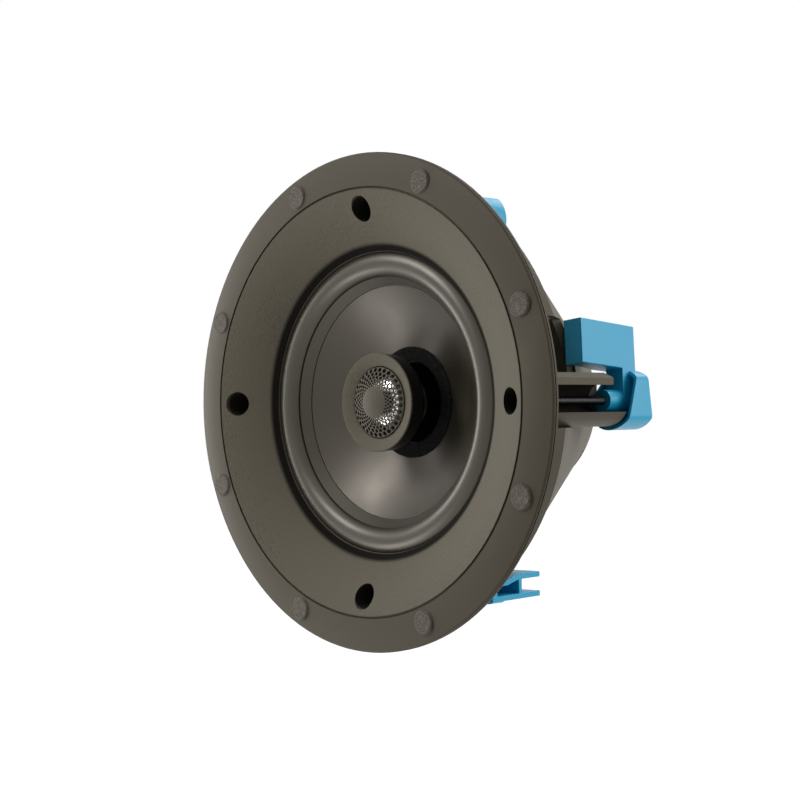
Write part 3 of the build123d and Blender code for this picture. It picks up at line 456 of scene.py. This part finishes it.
finishes = {
    "framePlastic": mouldedMaterial("framePlastic", {
        "colour": (0.072, 0.063, 0.046), "shade": (0.113, 0.100, 0.074), "roughness": (0.54, 0.60),
        "specular": 0.22,
        "gloss": (1.0, 0.90, 0.76), "grain": 1.1, "patch": 60.0, "depth": 0.22, "fleck": 1.3,
        "fleckLevel": 0.25, "grainRadius": 99.4, "grainFade": 0.6, "outerGrain": 0.12,
        # the foot ring and the wells and channels take painted shade
        "footRing": (71.45, 74.7), "footEdge": 0.2, "footFade": 1.2, "footDepth": 11.0, "footPaintedShade": 0.0,
        "wellPaintedShade": 0.10, "recessDullness": 0.4}),
    "magnetCoat": speckledMaterial("magnetCoat", {
        "colour": (0.085, 0.073, 0.058), "shade": (0.135, 0.117, 0.094), "roughness": (0.75, 0.60),
        "specular": 0.3, "grain": 0.5, "share": 0.45, "depth": 0.018}),
    "clampPlastic": mouldedMaterial("clampPlastic", {
        "colour": (0.006, 0.390, 0.650), "shade": (0.008, 0.405, 0.675), "roughness": (0.36, 0.42),
        "specular": 0.45, "grain": 0.35, "patch": 14.0, "depth": 0.006}),
    "blackSteel": turnedMaterial("blackSteel", {
        "colour": (0.010, 0.010, 0.010), "shade": (0.016, 0.016, 0.016), "roughness": (0.26, 0.34),
        "specular": 0.5, "grain": 0.25, "depth": 0.004}),
    "rubber": mouldedMaterial("surroundRubber", {
        "colour": (0.019, 0.017, 0.012), "shade": (0.022, 0.020, 0.014), "roughness": (0.33, 0.39),
        "specular": 0.7, "gloss": (1.0, 0.92, 0.80), "grain": 0.30, "patch": 25.0, "depth": 0.006}),
    # near-black rubber for the surround's land and foot: painted shade in the groove between roll and bowl
    "paintedShadeRubber": mouldedMaterial("paintedShadeRubber", {
        "colour": (0.0020, 0.0019, 0.0017), "shade": (0.0026, 0.0025, 0.0022), "roughness": (0.80, 0.88),
        "specular": 0.15, "grain": 0.30, "patch": 25.0, "depth": 0.006}),
    "conePaper": mouldedMaterial("conePaper", {
        "colour": (0.016, 0.0135, 0.009), "shade": (0.019, 0.0165, 0.011), "roughness": (0.36, 0.44),
        "specular": 0.70, "gloss": (1.0, 0.90, 0.78), "grain": 0.45, "patch": 18.0, "depth": 0.014}),
    "foam": speckledMaterial("foam", {
        "colour": (0.0035, 0.0035, 0.0032), "shade": (0.020, 0.020, 0.018), "roughness": (0.95, 0.9),
        "specular": 0.15, "grain": 0.6, "share": 0.30, "depth": 0.4}),
    "kapton": turnedMaterial("kapton", {
        "colour": (0.0030, 0.0030, 0.0030), "shade": (0.0040, 0.0040, 0.0040), "roughness": (0.5, 0.6),
        "specular": 0.2, "grain": 0.8, "depth": 0.004}),
    "copper": turnedMaterial("copper", {
        "colour": (0.60, 0.24, 0.10), "shade": (0.42, 0.15, 0.06), "roughness": (0.28, 0.36), "metallic": 1.0,
        "grain": 0.32, "depth": 0.08}),
    "spiderCloth": mouldedMaterial("spiderCloth", {
        "colour": (0.30, 0.20, 0.07), "shade": (0.24, 0.155, 0.055), "roughness": (0.80, 0.90),
        "specular": 0.25, "sheen": 0.2, "grain": 0.50, "patch": 12.0, "depth": 0.15}),
    "zincSteel": turnedMaterial("zincSteel", {
        "colour": (0.55, 0.55, 0.54), "shade": (0.47, 0.47, 0.46), "roughness": (0.30, 0.40), "metallic": 1.0,
        "grain": 0.35, "depth": 0.006}),
    "ferrite": speckledMaterial("ferrite", {
        "colour": (0.016, 0.016, 0.017), "shade": (0.030, 0.030, 0.031), "roughness": (0.55, 0.45),
        "specular": 0.5, "grain": 0.5, "share": 0.35, "depth": 0.03}),
    "podPlastic": mouldedMaterial("podPlastic", {
        "colour": (0.0020, 0.0020, 0.0020), "shade": (0.0026, 0.0026, 0.0026), "roughness": (0.16, 0.20),
        "specular": 0.3, "grain": 2.0, "patch": 20.0, "depth": 0.002}),
    "lensMetal": mouldedMaterial("lensMetal", {
        "colour": (0.058, 0.050, 0.036), "shade": (0.064, 0.056, 0.041), "roughness": (0.46, 0.52),
        "specular": 0.35, "gloss": (1.0, 0.90, 0.76),
        "grain": 0.30, "patch": 8.0, "depth": 0.004}),
    # beyond brightRadius the dome's edge is painted dark: painted shade
    "domeMetal": turnedMaterial("domeMetal", {
        "colour": (0.93, 0.92, 0.88), "shade": (0.90, 0.89, 0.85), "roughness": (0.10, 0.16), "metallic": 1.0,
        "grain": 0.5, "depth": 0.001, "brightRadius": 10.8, "brightFade": 0.5, "outerPaintedShade": 0.02}),
    "domeEdgeCloth": mouldedMaterial("domeEdgeCloth", {
        "colour": (0.006, 0.006, 0.006), "shade": (0.008, 0.008, 0.008), "roughness": (0.70, 0.80),
        "specular": 0.3, "grain": 0.40, "patch": 10.0, "depth": 0.02}),
    "coverPlastic": mouldedMaterial("coverPlastic", {
        "colour": (0.016, 0.016, 0.016), "shade": (0.020, 0.020, 0.020), "roughness": (0.50, 0.58),
        "specular": 0.4, "grain": 0.6, "patch": 20.0, "depth": 0.03}),
    "board": mouldedMaterial("board", {
        "colour": (0.012, 0.070, 0.030), "shade": (0.016, 0.090, 0.038), "roughness": (0.35, 0.45),
        "specular": 0.5, "grain": 1.2, "patch": 6.0, "depth": 0.01}),
    "capacitorFilm": mouldedMaterial("capacitorFilm", {
        "colour": (0.30, 0.20, 0.03), "shade": (0.34, 0.23, 0.04), "roughness": (0.25, 0.32), "specular": 0.5,
        "grain": 1.5, "patch": 6.0, "depth": 0.01}),
    "redLever": mouldedMaterial("redLever", {
        "colour": (0.45, 0.016, 0.014), "shade": (0.50, 0.020, 0.017), "roughness": (0.28, 0.34),
        "specular": 0.5, "grain": 0.5, "patch": 5.0, "depth": 0.006}),
    "blackLever": mouldedMaterial("blackLever", {
        "colour": (0.010, 0.010, 0.010), "shade": (0.014, 0.014, 0.014), "roughness": (0.28, 0.34),
        "specular": 0.5, "grain": 0.5, "patch": 5.0, "depth": 0.006}),
}

finishOf = {
    "frame_plastic": "framePlastic", "grille_magnet": "magnetCoat", "clamp_plastic": "clampPlastic",
    "black_steel": "blackSteel", "surround_rubber": "rubber", "cone_paper": "conePaper", "felt": "foam",
    "kapton": "kapton", "copper": "copper", "spider_cloth": "spiderCloth", "zinc_steel": "zincSteel",
    "ferrite": "ferrite", "pod_plastic": "podPlastic", "lens_metal": "lensMetal", "dome_metal": "domeMetal",
    "cover_plastic": "coverPlastic", "board": "board", "capacitor": "capacitorFilm", "lever_red": "redLever",
    "lever_black": "blackLever",
}
for row in frame["record"]["subparts"]:
    mesh = nodes[row["node"]].data
    mesh.materials.clear()
    mesh.materials.append(finishes[finishOf[row["material_slot"]]])
print("materials:", len(finishes))


# A piece turned from one closed profile, riding with the CAD node that it stands for
def turnedPiece(name, profile, columns, finish, node, sharp=35):
    return addPiece(name, [shell(turned(profile, columns))], finishes[finish], bodyOf[node], sharp)


surroundRoll = {"footRadius": 70.75, "footDepth": 10.0, "crown": (65.7, 8.0), "landWall": 0.5,
                "thickness": 0.8, "rimDepth": 12.7, "shadeInset": 0.1, "bendStart": 10.3, "bendEnd": 11.85,
                "rows": 33, "columns": 256}


# Half roll: an arc from the outer land over the roll to the cone's rim, with a second arc one wall behind it.
# The piece rides on no body.
def makeSurround(values):
    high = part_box("surround")[1]
    landOut = high.x / mm
    rollOut = values["footRadius"]
    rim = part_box("cone")[1].x / mm
    t = values["thickness"]
    foot = (rollOut, values["footDepth"])
    front, centre, ball = arcThrough(foot, values["crown"], (rim, values["rimDepth"] - t), values["rows"])
    back = centre + (front - centre) * (ball - t) / ball
    lip = high.y / mm
    land = values["footDepth"]
    profile = [(landOut, land)] + front.tolist()
    profile += [(rim, lip), (back[-1][0], lip)] + back[::-1].tolist()
    profile += [(back[0][0], land + values["landWall"]), (landOut, land + values["landWall"])]
    shells = [shell(turned(profile, values["columns"]))]
    piece = addPiece("surroundRoll", shells, finishes["rubber"], None)
    # the land and foot beyond the roll take the near-black rubber, painted shade for the groove between roll
    # and bowl
    piece.data.materials.append(finishes["paintedShadeRubber"])
    middles = np.zeros(len(piece.data.polygons) * 3)
    piece.data.polygons.foreach_get("center", middles)
    reach = np.hypot(middles[0::3], middles[2::3]) / mm
    beyond = reach > rollOut - values["shadeInset"]
    piece.data.polygons.foreach_set("material_index", beyond.astype(np.int32))
    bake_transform(piece)
    standsFor(piece, "surround")


makeSurround(surroundRoll)

coneShell = {"rimWidth": 3.9, "rimDrop": 4.0, "rimHollow": 0.25, "rimRows": 9, "groove": 0.45,
             "grooveEdge": 0.1, "grooveFoot": 0.08, "middle": (42.3, 24.6), "neckDepth": 33.2,
             "rows": 41, "thickness": 0.8, "columns": 256}


# Cone: a hollowed rim, a fine groove, and one long arc down to the neck, all one wall thick
def makeCone(values):
    low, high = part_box("cone")
    rimR, rimY = high.x / mm, low.y / mm
    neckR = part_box("coil_former")[1].x / mm
    t = values["thickness"]
    wide, drop, hollow = values["rimWidth"], values["rimDrop"], values["rimHollow"]
    grooveR, grooveY = rimR - wide, rimY + drop
    sunk = (rimR - wide / 2 - hollow, rimY + drop / 2 + hollow)
    rim, _, _ = arcThrough((rimR, rimY), sunk, (grooveR, grooveY), values["rimRows"])
    g, edge, foot = values["groove"], values["grooveEdge"], values["grooveFoot"]
    neck = (neckR, values["neckDepth"])
    long, _, _ = arcThrough((grooveR - g, grooveY + g), values["middle"], neck, values["rows"])
    notch = [(grooveR - edge, grooveY + g), (grooveR - g + foot, grooveY + g + edge)]
    rear = [(neckR, values["neckDepth"] + 2 * t)] + (long[::-1] + (0, t)).tolist() + [(rimR, rimY + t)]
    profile = rim.tolist() + notch + long.tolist() + rear
    piece = turnedPiece("coneShell", profile, values["columns"], "conePaper", "cone", sharp=25)
    standsFor(piece, "cone")


makeCone(coneShell)

dampingFoam = {"width": 6.85, "fuzz": 0.16, "hiddenFuzz": 0.2, "rounding": 0.5, "crownDrop": 0.12,
               "footInset": 0.1, "seat": 0.2, "wallFoot": 1.0, "crownRows": 9, "columns": 420, "seed": 7}


# Foam ring: a rounded band on the cone, every point of it moved at random within the fuzz
def makeFoamRing(values):
    low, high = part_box("damping_ring")
    outer, front, rear = high.x / mm, low.y / mm, high.y / mm
    inner = outer - values["width"]
    r, inset = values["rounding"], values["footInset"]
    span = np.linspace(0, 1, values["crownRows"])
    crown = [(inner + r + (outer - inner - 2 * r) * s, front + values["crownDrop"]) for s in span]
    side = [(outer, front + r), (outer, (front + rear) / 2), (outer - inset, rear - inset)]
    seat = [(inner, rear + values["seat"])]
    wall = [(inner, rear - values["wallFoot"]), (inner, front + r)]
    grid = turned(crown + side + seat + wall, values["columns"])
    jitter = np.random.default_rng(values["seed"]).uniform(-1, 1, grid.shape) * values["fuzz"] * mm
    jitter[len(crown) + 2:] *= values["hiddenFuzz"]
    shells = [shell(grid + jitter)]
    piece = addPiece("dampingFoam", shells, finishes["foam"], bodyOf["damping_ring"], sharp=180)
    standsFor(piece, "damping_ring")


makeFoamRing(dampingFoam)

spiderDisc = {"waves": 7, "height": 0.75, "thickness": 0.45, "collar": 1.6, "rim": 3.4, "fadeIn": 6,
              "rows": 120, "columns": 192}


# Corrugated disc: depth = middle - height * cos(turns), fading to flat at the collar and the rim
def makeSpider(values):
    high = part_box("spider")[1]
    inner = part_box("coil_former")[1].x / mm
    outer, rear = high.x / mm, high.y / mm
    r = np.linspace(inner, outer, values["rows"])
    waved = outer - inner - values["collar"] - values["rim"]
    share = np.clip((r - inner - values["collar"]) / waved, 0, 1)
    flat = np.minimum(1, values["fadeIn"] * np.minimum(share, 1 - share))
    wave = values["height"] * (1 - np.cos(2 * np.pi * values["waves"] * share)) / 2 * flat
    front = rear - values["thickness"] - wave
    back = np.stack([r, front + values["thickness"]], 1)
    profile = np.concatenate([np.stack([r, front], 1), back[::-1]])
    piece = turnedPiece("spiderDisc", profile, values["columns"], "spiderCloth", "spider")
    standsFor(piece, "spider")


makeSpider(spiderDisc)
print("woofer made")


perforatedLens = {"holesPerRing": 32, "rings": 6, "innerRing": 8.0, "outerRing": 15.4, "holeSize": 0.064,
                  "sides": 18, "plainRows": 10, "rimDepth": 9.05, "rimGap": 0.42, "rimWall": 1.4,
                  "thickness": 0.45}


# Domed sheet over the tweeter, worked out in (turn, log of radius), where the holes stand in staggered rings
# of six-sided cells of one size. Each cell is a band of quads from its hole to its edge, and the zigzag edges
# of the first and last rings run on to the middle and the rim. Depth: the ball through the apex and the rim.
def makeLens(values):
    low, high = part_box("tweeter_lens")
    edge, apex = high.x / mm, low.y / mm
    rise = values["rimDepth"] - apex
    ball = (edge ** 2 + rise ** 2) / (2 * rise)
    count, rings, sides = values["holesPerRing"], values["rings"], values["sides"]
    third = sides // 6
    wide = 2 * np.pi / count
    inner, outer = math.log(values["innerRing"]), math.log(values["outerRing"])
    tall = (outer - inner) / (rings - 1)
    corners = np.array([(0, 4), (-3, 2), (-3, -2), (0, -4), (3, -2), (3, 2)]) / 6 * (wide, tall)
    steps = np.linspace(0, 1, third, endpoint=False)[:, None]
    border = (corners[:, None] * (1 - steps) + np.roll(corners, -1, 0)[:, None] * steps).reshape(-1, 2)
    turn = np.linspace(0, 2 * np.pi, sides, endpoint=False) + np.pi / 2
    hole = values["holeSize"] * np.stack([np.cos(turn), np.sin(turn)], 1)
    ring, column = (a.ravel() for a in np.meshgrid(np.arange(rings), np.arange(count), indexing="ij"))
    centre = np.stack([(column + 0.5 * (ring % 2)) * wide, inner + ring * tall], 1)[:, None]
    cells = np.stack([centre + hole, centre + border], 1)
    cells[..., 1] = np.exp(cells[..., 1])
    quads = gridFaces(2, sides, False, True)[None] + (np.arange(len(cells)) * 2 * sides)[:, None, None]
    flat = [(cells.reshape(-1, 2), quads.reshape(-1, 4))]
    rim = edge - values["rimGap"]
    plainRows = values["plainRows"]
    inward = (0, np.r_[2 * third:4 * third], 0)
    outward = (rings - 1, np.r_[0:third, 5 * third:sides], rim)
    for row, picks, end in (inward, outward):
        zigzag = cells[ring == row][:, 1][:, picks].reshape(-1, 2)
        zigzag = zigzag[np.argsort(zigzag[:, 0])]
        share = np.linspace(0, 1, plainRows)[:, None]
        radii = zigzag[:, 1] * (1 - share) + end * share
        flat.append(shell(np.stack([np.broadcast_to(zigzag[:, 0], radii.shape), radii], -1), False, True))
    shells = []
    for points, faces in flat:
        angle, radius = points[:, 0], points[:, 1]
        depth = apex + ball - np.sqrt(ball ** 2 - radius ** 2)
        shells.append((np.stack([radius * np.cos(angle), depth, radius * np.sin(angle)], 1) * mm, faces))
    last = shells[-1][0].reshape(plainRows, -1, 3)[-1]
    wall = np.stack([last, last + (0, values["rimWall"] * mm, 0)])
    shells.append(shell(wall, False, True))
    piece = addPiece("perforatedLens", shells, finishes["lensMetal"], bodyOf["tweeter_lens"], sharp=50)
    # an open sheet: its faces are turned to the front before it gets its thickness
    mesh = piece.data
    normals = np.zeros(len(mesh.polygons) * 3)
    mesh.polygons.foreach_get("normal", normals)
    if normals[1::3].mean() > 0:
        mesh.flip_normals()
    thicken = piece.modifiers.new("wall", "SOLIDIFY")
    thicken.thickness = values["thickness"] * mm
    thicken.offset = -1
    standsFor(piece, "tweeter_lens")


makeLens(perforatedLens)

trimRing = {"lip": 0.95, "edgeRound": 0.45, "innerRound": 0.3, "innerSlope": 0.37, "chamfer": 0.15,
            "lensGap": 0.1, "collarInset": 0.35, "collarGap": 0.02, "bendRows": 6, "columns": 256}


# Trim: a thin sloping lip with rounded edges, and behind it the pod's gloss collar; both profiles are turned
def makeTrim(values):
    low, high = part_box("tweeter_trim")
    outer, front, rear = high.x / mm, low.y / mm, high.y / mm
    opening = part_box("tweeter_lens")[1].x / mm + values["lensGap"]
    innerDepth = perforatedLens["rimDepth"]
    e, n, slope, chamfer = (values[key] for key in ("edgeRound", "innerRound", "innerSlope", "chamfer"))
    bend = np.linspace(0, np.pi / 2, values["bendRows"])
    inside = [
        (opening + n * (1 - math.sin(b)), innerDepth + n * (1 - math.cos(b)) - slope * n * math.sin(b))
        for b in bend
    ]
    corner = [(outer - e + e * math.sin(b), front + e * (1 - math.cos(b))) for b in bend]
    lipFront, lipRear = innerDepth + values["lip"], front + values["lip"]
    profile = inside + corner + [(outer, lipRear - chamfer), (outer - chamfer, lipRear), (opening, lipFront)]
    lip = turnedPiece("trimLip", profile, values["columns"], "framePlastic", "tweeter_trim", sharp=40)
    standsFor(lip, "tweeter_trim")
    side = outer - values["collarInset"]
    collar = [(opening, lipFront), (side, lipRear + values["collarGap"]), (side, rear), (opening, rear)]
    band = turnedPiece("podCollar", collar, values["columns"], "podPlastic", "tweeter_trim")
    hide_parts("tweeter_trim")


makeTrim(trimRing)

domeEdge = {"rollHeight": 0.9, "thickness": 0.3, "rows": 17, "columns": 128}


# Small half roll round the dome: depth falls from the seat by height * sin over the roll's width
def makeDomeEdge(values):
    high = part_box("dome_surround")[1]
    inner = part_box("tweeter_dome")[1].x / mm
    outer, rear = high.x / mm, high.y / mm
    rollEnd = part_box("tweeter_cup")[1].x / mm
    t = values["thickness"]
    s = np.linspace(0, 1, values["rows"])
    r = inner + (rollEnd - inner) * s
    front = rear - t - values["rollHeight"] * np.sin(np.pi * s)
    profile = list(zip(r, front)) + [(outer, rear - t), (outer, rear)] + list(zip(r, front + t))[::-1]
    piece = turnedPiece("domeEdge", profile, values["columns"], "domeEdgeCloth", "dome_surround")
    standsFor(piece, "dome_surround")


makeDomeEdge(domeEdge)
print("tweeter made")


threadedScrew = {"headHeight": 2.6, "headRadius": 4.3, "headRound": 0.9, "faceRows": 34, "roundRows": 7,
                 "headColumns": 160, "recessLength": 5.0, "recessWidth": 1.15, "recessDepth": 1.5,
                 "recessEdge": 0.4, "shank": 2.0, "root": 1.55, "overlap": 0.5, "plainRows": 12, "pitch": 1.5,
                 "rowsPerTurn": 8, "threadStart": 26.0, "toothSlope": 2.6, "crest": 0.15, "tip": 2.5,
                 "tipShare": 0.55, "columns": 28}


# Head: a rounded disc whose front is sunk where |across| < width / 2 and |along| < length / 2, deepest in the
# middle. The foot closes it behind.
def screwHead(values, front, neck):
    around = np.linspace(0, 2 * np.pi, values["headColumns"], endpoint=False)
    edgeRound, flat = values["headRound"], values["headRadius"] - values["headRound"]
    bend = np.linspace(0, np.pi / 2, values["roundRows"])[1:]
    r = np.concatenate([np.linspace(0, flat, values["faceRows"]), flat + edgeRound * np.sin(bend)])
    depth = np.concatenate([np.zeros(values["faceRows"]), edgeRound * (1 - np.cos(bend))]) + front
    x, z = r[:, None] * np.cos(around), r[:, None] * np.sin(around)
    across, along = np.minimum(np.abs(x), np.abs(z)), np.maximum(np.abs(x), np.abs(z))
    half, edge = values["recessLength"] / 2, values["recessEdge"]
    sunk = (across < values["recessWidth"] / 2) & (along < half)
    taper = np.clip(1 - (1 - edge) * along / half, 0, 1)
    y = depth[:, None] + values["recessDepth"] * sunk * (edge + (1 - edge) * taper)
    foot = turned([(values["headRadius"], neck), (0, neck)], values["headColumns"]) / mm
    return shell(np.concatenate([np.stack([x, y, z], -1), foot]), False, True)


# Shank along Y. Thread: radius = root + (shank - root) * tooth, where the tooth's phase is depth / pitch less
# the turn; it fades in over the first pitch, and the last stretch narrows to the tip.
def screwShank(values, neck, end):
    columns, pitch, start = values["columns"], values["pitch"], values["threadStart"]
    turn = np.linspace(0, 2 * np.pi, columns, endpoint=False)
    plain = np.linspace(neck - values["overlap"], start, values["plainRows"])
    rows = np.concatenate([plain, np.arange(start, end, pitch / values["rowsPerTurn"])[1:], [end]])
    phase = (rows[:, None] / pitch - turn / (2 * np.pi)) % 1
    tooth = np.clip(values["toothSlope"] * np.abs(phase - 0.5) - values["crest"], 0, 1)
    fade = np.clip((rows - start) / pitch, 0, 1)[:, None]
    point = np.clip((end - rows) / values["tip"], 0, 1)[:, None] ** 0.5
    radius = values["shank"] - (values["shank"] - values["root"]) * tooth * fade
    radius = radius * (values["tipShare"] + (1 - values["tipShare"]) * point)
    depth = np.broadcast_to(rows[:, None], radius.shape)
    body = np.stack([radius * np.cos(turn), depth, radius * np.sin(turn)], -1)
    poles = [np.broadcast_to([0, y, 0], (1, columns, 3)) for y in (rows[0], rows[-1])]
    return shell(np.concatenate([poles[0], body, poles[1]]), False, True)


def makeScrews(values):
    for i in range(1, 5):
        node = f"clamp_screw_{i}"
        low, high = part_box(node)
        axis = (low + high) / 2
        front, end = low.y / mm, high.y / mm
        neck = front + values["headHeight"]
        parts = (screwShank(values, neck, end), screwHead(values, front, neck))
        shells = [(points * mm + (axis.x, 0, axis.z), faces) for points, faces in parts]
        piece = addPiece(f"threadedScrew_{i}", shells, finishes["blackSteel"], bodyOf[node], sharp=40)
        standsFor(piece, node)


makeScrews(threadedScrew)
print("screws made")


roundedClamp = {"rounding": 0.45, "segments": 3, "flatAngle": 0.6, "foldAngle": 35, "shortestEdge": 2.2,
                "smallestFace": 30.0, "weldDistance": 1e-6}


# A copy of the CAD clamp with its doubles merged and its flat faces joined. The long edges between broad
# faces carry a bevel weight, and the Bevel modifier rounds them.
def makeClamps(values):
    for i in range(1, 5):
        name = f"clamp_{i}"
        copy = bmesh.new()
        copy.from_mesh(nodes[name].data)
        bmesh.ops.remove_doubles(copy, verts=copy.verts, dist=values["weldDistance"])
        flat, fold = math.radians(values["flatAngle"]), math.radians(values["foldAngle"])
        bmesh.ops.dissolve_limit(copy, angle_limit=flat, verts=copy.verts, edges=copy.edges)
        weight = copy.edges.layers.float.new("bevel_weight_edge")
        for edge in copy.edges:
            if len(edge.link_faces) == 2 and edge.calc_face_angle() > fold:
                smallest = min(face.calc_area() for face in edge.link_faces)
                broad = smallest > values["smallestFace"] * mm ** 2
                edge[weight] = float(broad and edge.calc_length() > values["shortestEdge"] * mm)
        mesh = bpy.data.meshes.new(f"roundedClamp_{i}")
        copy.to_mesh(mesh)
        copy.free()
        if "custom_normal" in mesh.attributes:
            mesh.attributes.remove(mesh.attributes["custom_normal"])
        mesh.shade_smooth()
        mesh.set_sharp_from_angle(angle=fold)
        mesh.materials.append(finishes["clampPlastic"])
        piece = bpy.data.objects.new(f"roundedClamp_{i}", mesh)
        bpy.context.scene.collection.objects.link(piece)
        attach(piece, bodyOf[name])
        bevel = piece.modifiers.new("rounding", "BEVEL")
        bevel.limit_method = "WEIGHT"
        bevel.width = values["rounding"] * mm
        bevel.segments = values["segments"]
        bevel.use_clamp_overlap = False
        bevel.harden_normals = True
        standsFor(piece, name)


makeClamps(roundedClamp)
print("clamps made")


stage = {"floorDrop": 0.75, "floorSize": 30.0, "floorColour": (0.82, 0.82, 0.82), "floorGlow": 0.95,
         "ambient": 0.18}
white = (1, 1, 1, 1)


# 1 for rays from the camera, in a reflection or through glass
def directView(tree):
    path = tree.nodes.new("ShaderNodeLightPath").outputs
    both = maths(tree, "MAXIMUM", path["Is Camera Ray"], path["Is Glossy Ray"])
    return maths(tree, "MAXIMUM", both, path["Is Transmission Ray"])


# Seen directly or in a reflection, floor and world are white; as light on the object they are plainer
def makeStage(values):
    low, _ = cadBounds
    size = values["floorSize"] / 2
    level = low.z - values["floorDrop"]
    mesh = bpy.data.meshes.new("floor")
    corners = [(x * size, y * size, level) for x, y in ((-1, -1), (1, -1), (1, 1), (-1, 1))]
    mesh.from_pydata(corners, [], [(0, 1, 2, 3)])
    floor = bpy.data.objects.new("floor", mesh)
    bpy.context.scene.collection.objects.link(floor)
    material = bpy.data.materials.new("paleFloor")
    material.use_nodes = True
    tree = material.node_tree
    tree.nodes.clear()
    strength = maths(tree, "MULTIPLY", directView(tree), values["floorGlow"])
    glow = addNode(tree, "ShaderNodeEmission", {"Color": white, "Strength": strength})
    matt = addNode(tree, "ShaderNodeBsdfDiffuse", {"Color": (*values["floorColour"], 1)})
    both = addNode(tree, "ShaderNodeAddShader", {0: glow.outputs[0], 1: matt.outputs[0]})
    clear = tree.nodes.new("ShaderNodeBsdfTransparent")
    under = addNode(tree, "ShaderNodeNewGeometry").outputs["Backfacing"]
    pick = addNode(tree, "ShaderNodeMixShader", {0: under, 1: both.outputs[0], 2: clear.outputs[0]})
    addNode(tree, "ShaderNodeOutputMaterial", {"Surface": pick.outputs[0]})
    mesh.materials.append(material)
    world = bpy.data.worlds.new("paleRoom")
    world.use_nodes = True
    bpy.context.scene.world = world
    tree = world.node_tree
    tree.nodes.clear()
    plain = addNode(tree, "ShaderNodeBackground", {"Color": white, "Strength": values["ambient"]})
    bright = addNode(tree, "ShaderNodeBackground", {"Color": white, "Strength": 1.0})
    pick = addNode(tree, "ShaderNodeMixShader", {
        0: directView(tree), 1: plain.outputs[0], 2: bright.outputs[0],
    })
    addNode(tree, "ShaderNodeOutputWorld", {"Surface": pick.outputs[0]})


makeStage(stage)

# Soft boxes: the way each stands from the object, its distance and side in metres, and its power
softBoxes = {
    "upperLeft": {"way": (-0.42, -0.71, 0.56), "distance": 1.2, "side": 0.42, "power": 6.4},
    "lowerLeft": {"way": (-0.56, -0.63, -0.54), "distance": 1.2, "side": 0.42, "power": 2.8},
    "farLeft": {"way": (-0.96, -0.27, 0.00), "distance": 0.7, "side": 0.40, "power": 2.0},
    "above": {"way": (0.05, -0.45, 0.90), "distance": 1.3, "side": 0.60, "power": 1.0},
    "right": {"way": (0.80, 0.52, 0.20), "distance": 1.3, "side": 0.80, "power": 8.5},
    "rear": {"way": (0.05, 0.72, 0.80), "distance": 1.5, "side": 0.80, "power": 7.0},
}


def makeSoftBoxes(boxes):
    low, high = cadBounds
    centre = (low + high) / 2
    for name, values in boxes.items():
        data = bpy.data.lights.new(name, "AREA")
        data.shape = "SQUARE"
        data.size = values["side"]
        data.energy = values["power"]
        lamp = bpy.data.objects.new(name, data)
        bpy.context.scene.collection.objects.link(lamp)
        way = Vector(values["way"]).normalized()
        lamp.location = centre + way * values["distance"]
        lamp.rotation_mode = "QUATERNION"
        lamp.rotation_quaternion = (-way).to_track_quat("-Z", "Y")


makeSoftBoxes(softBoxes)
bpy.context.scene.view_settings.view_transform = "Standard"
print("stage and light set")
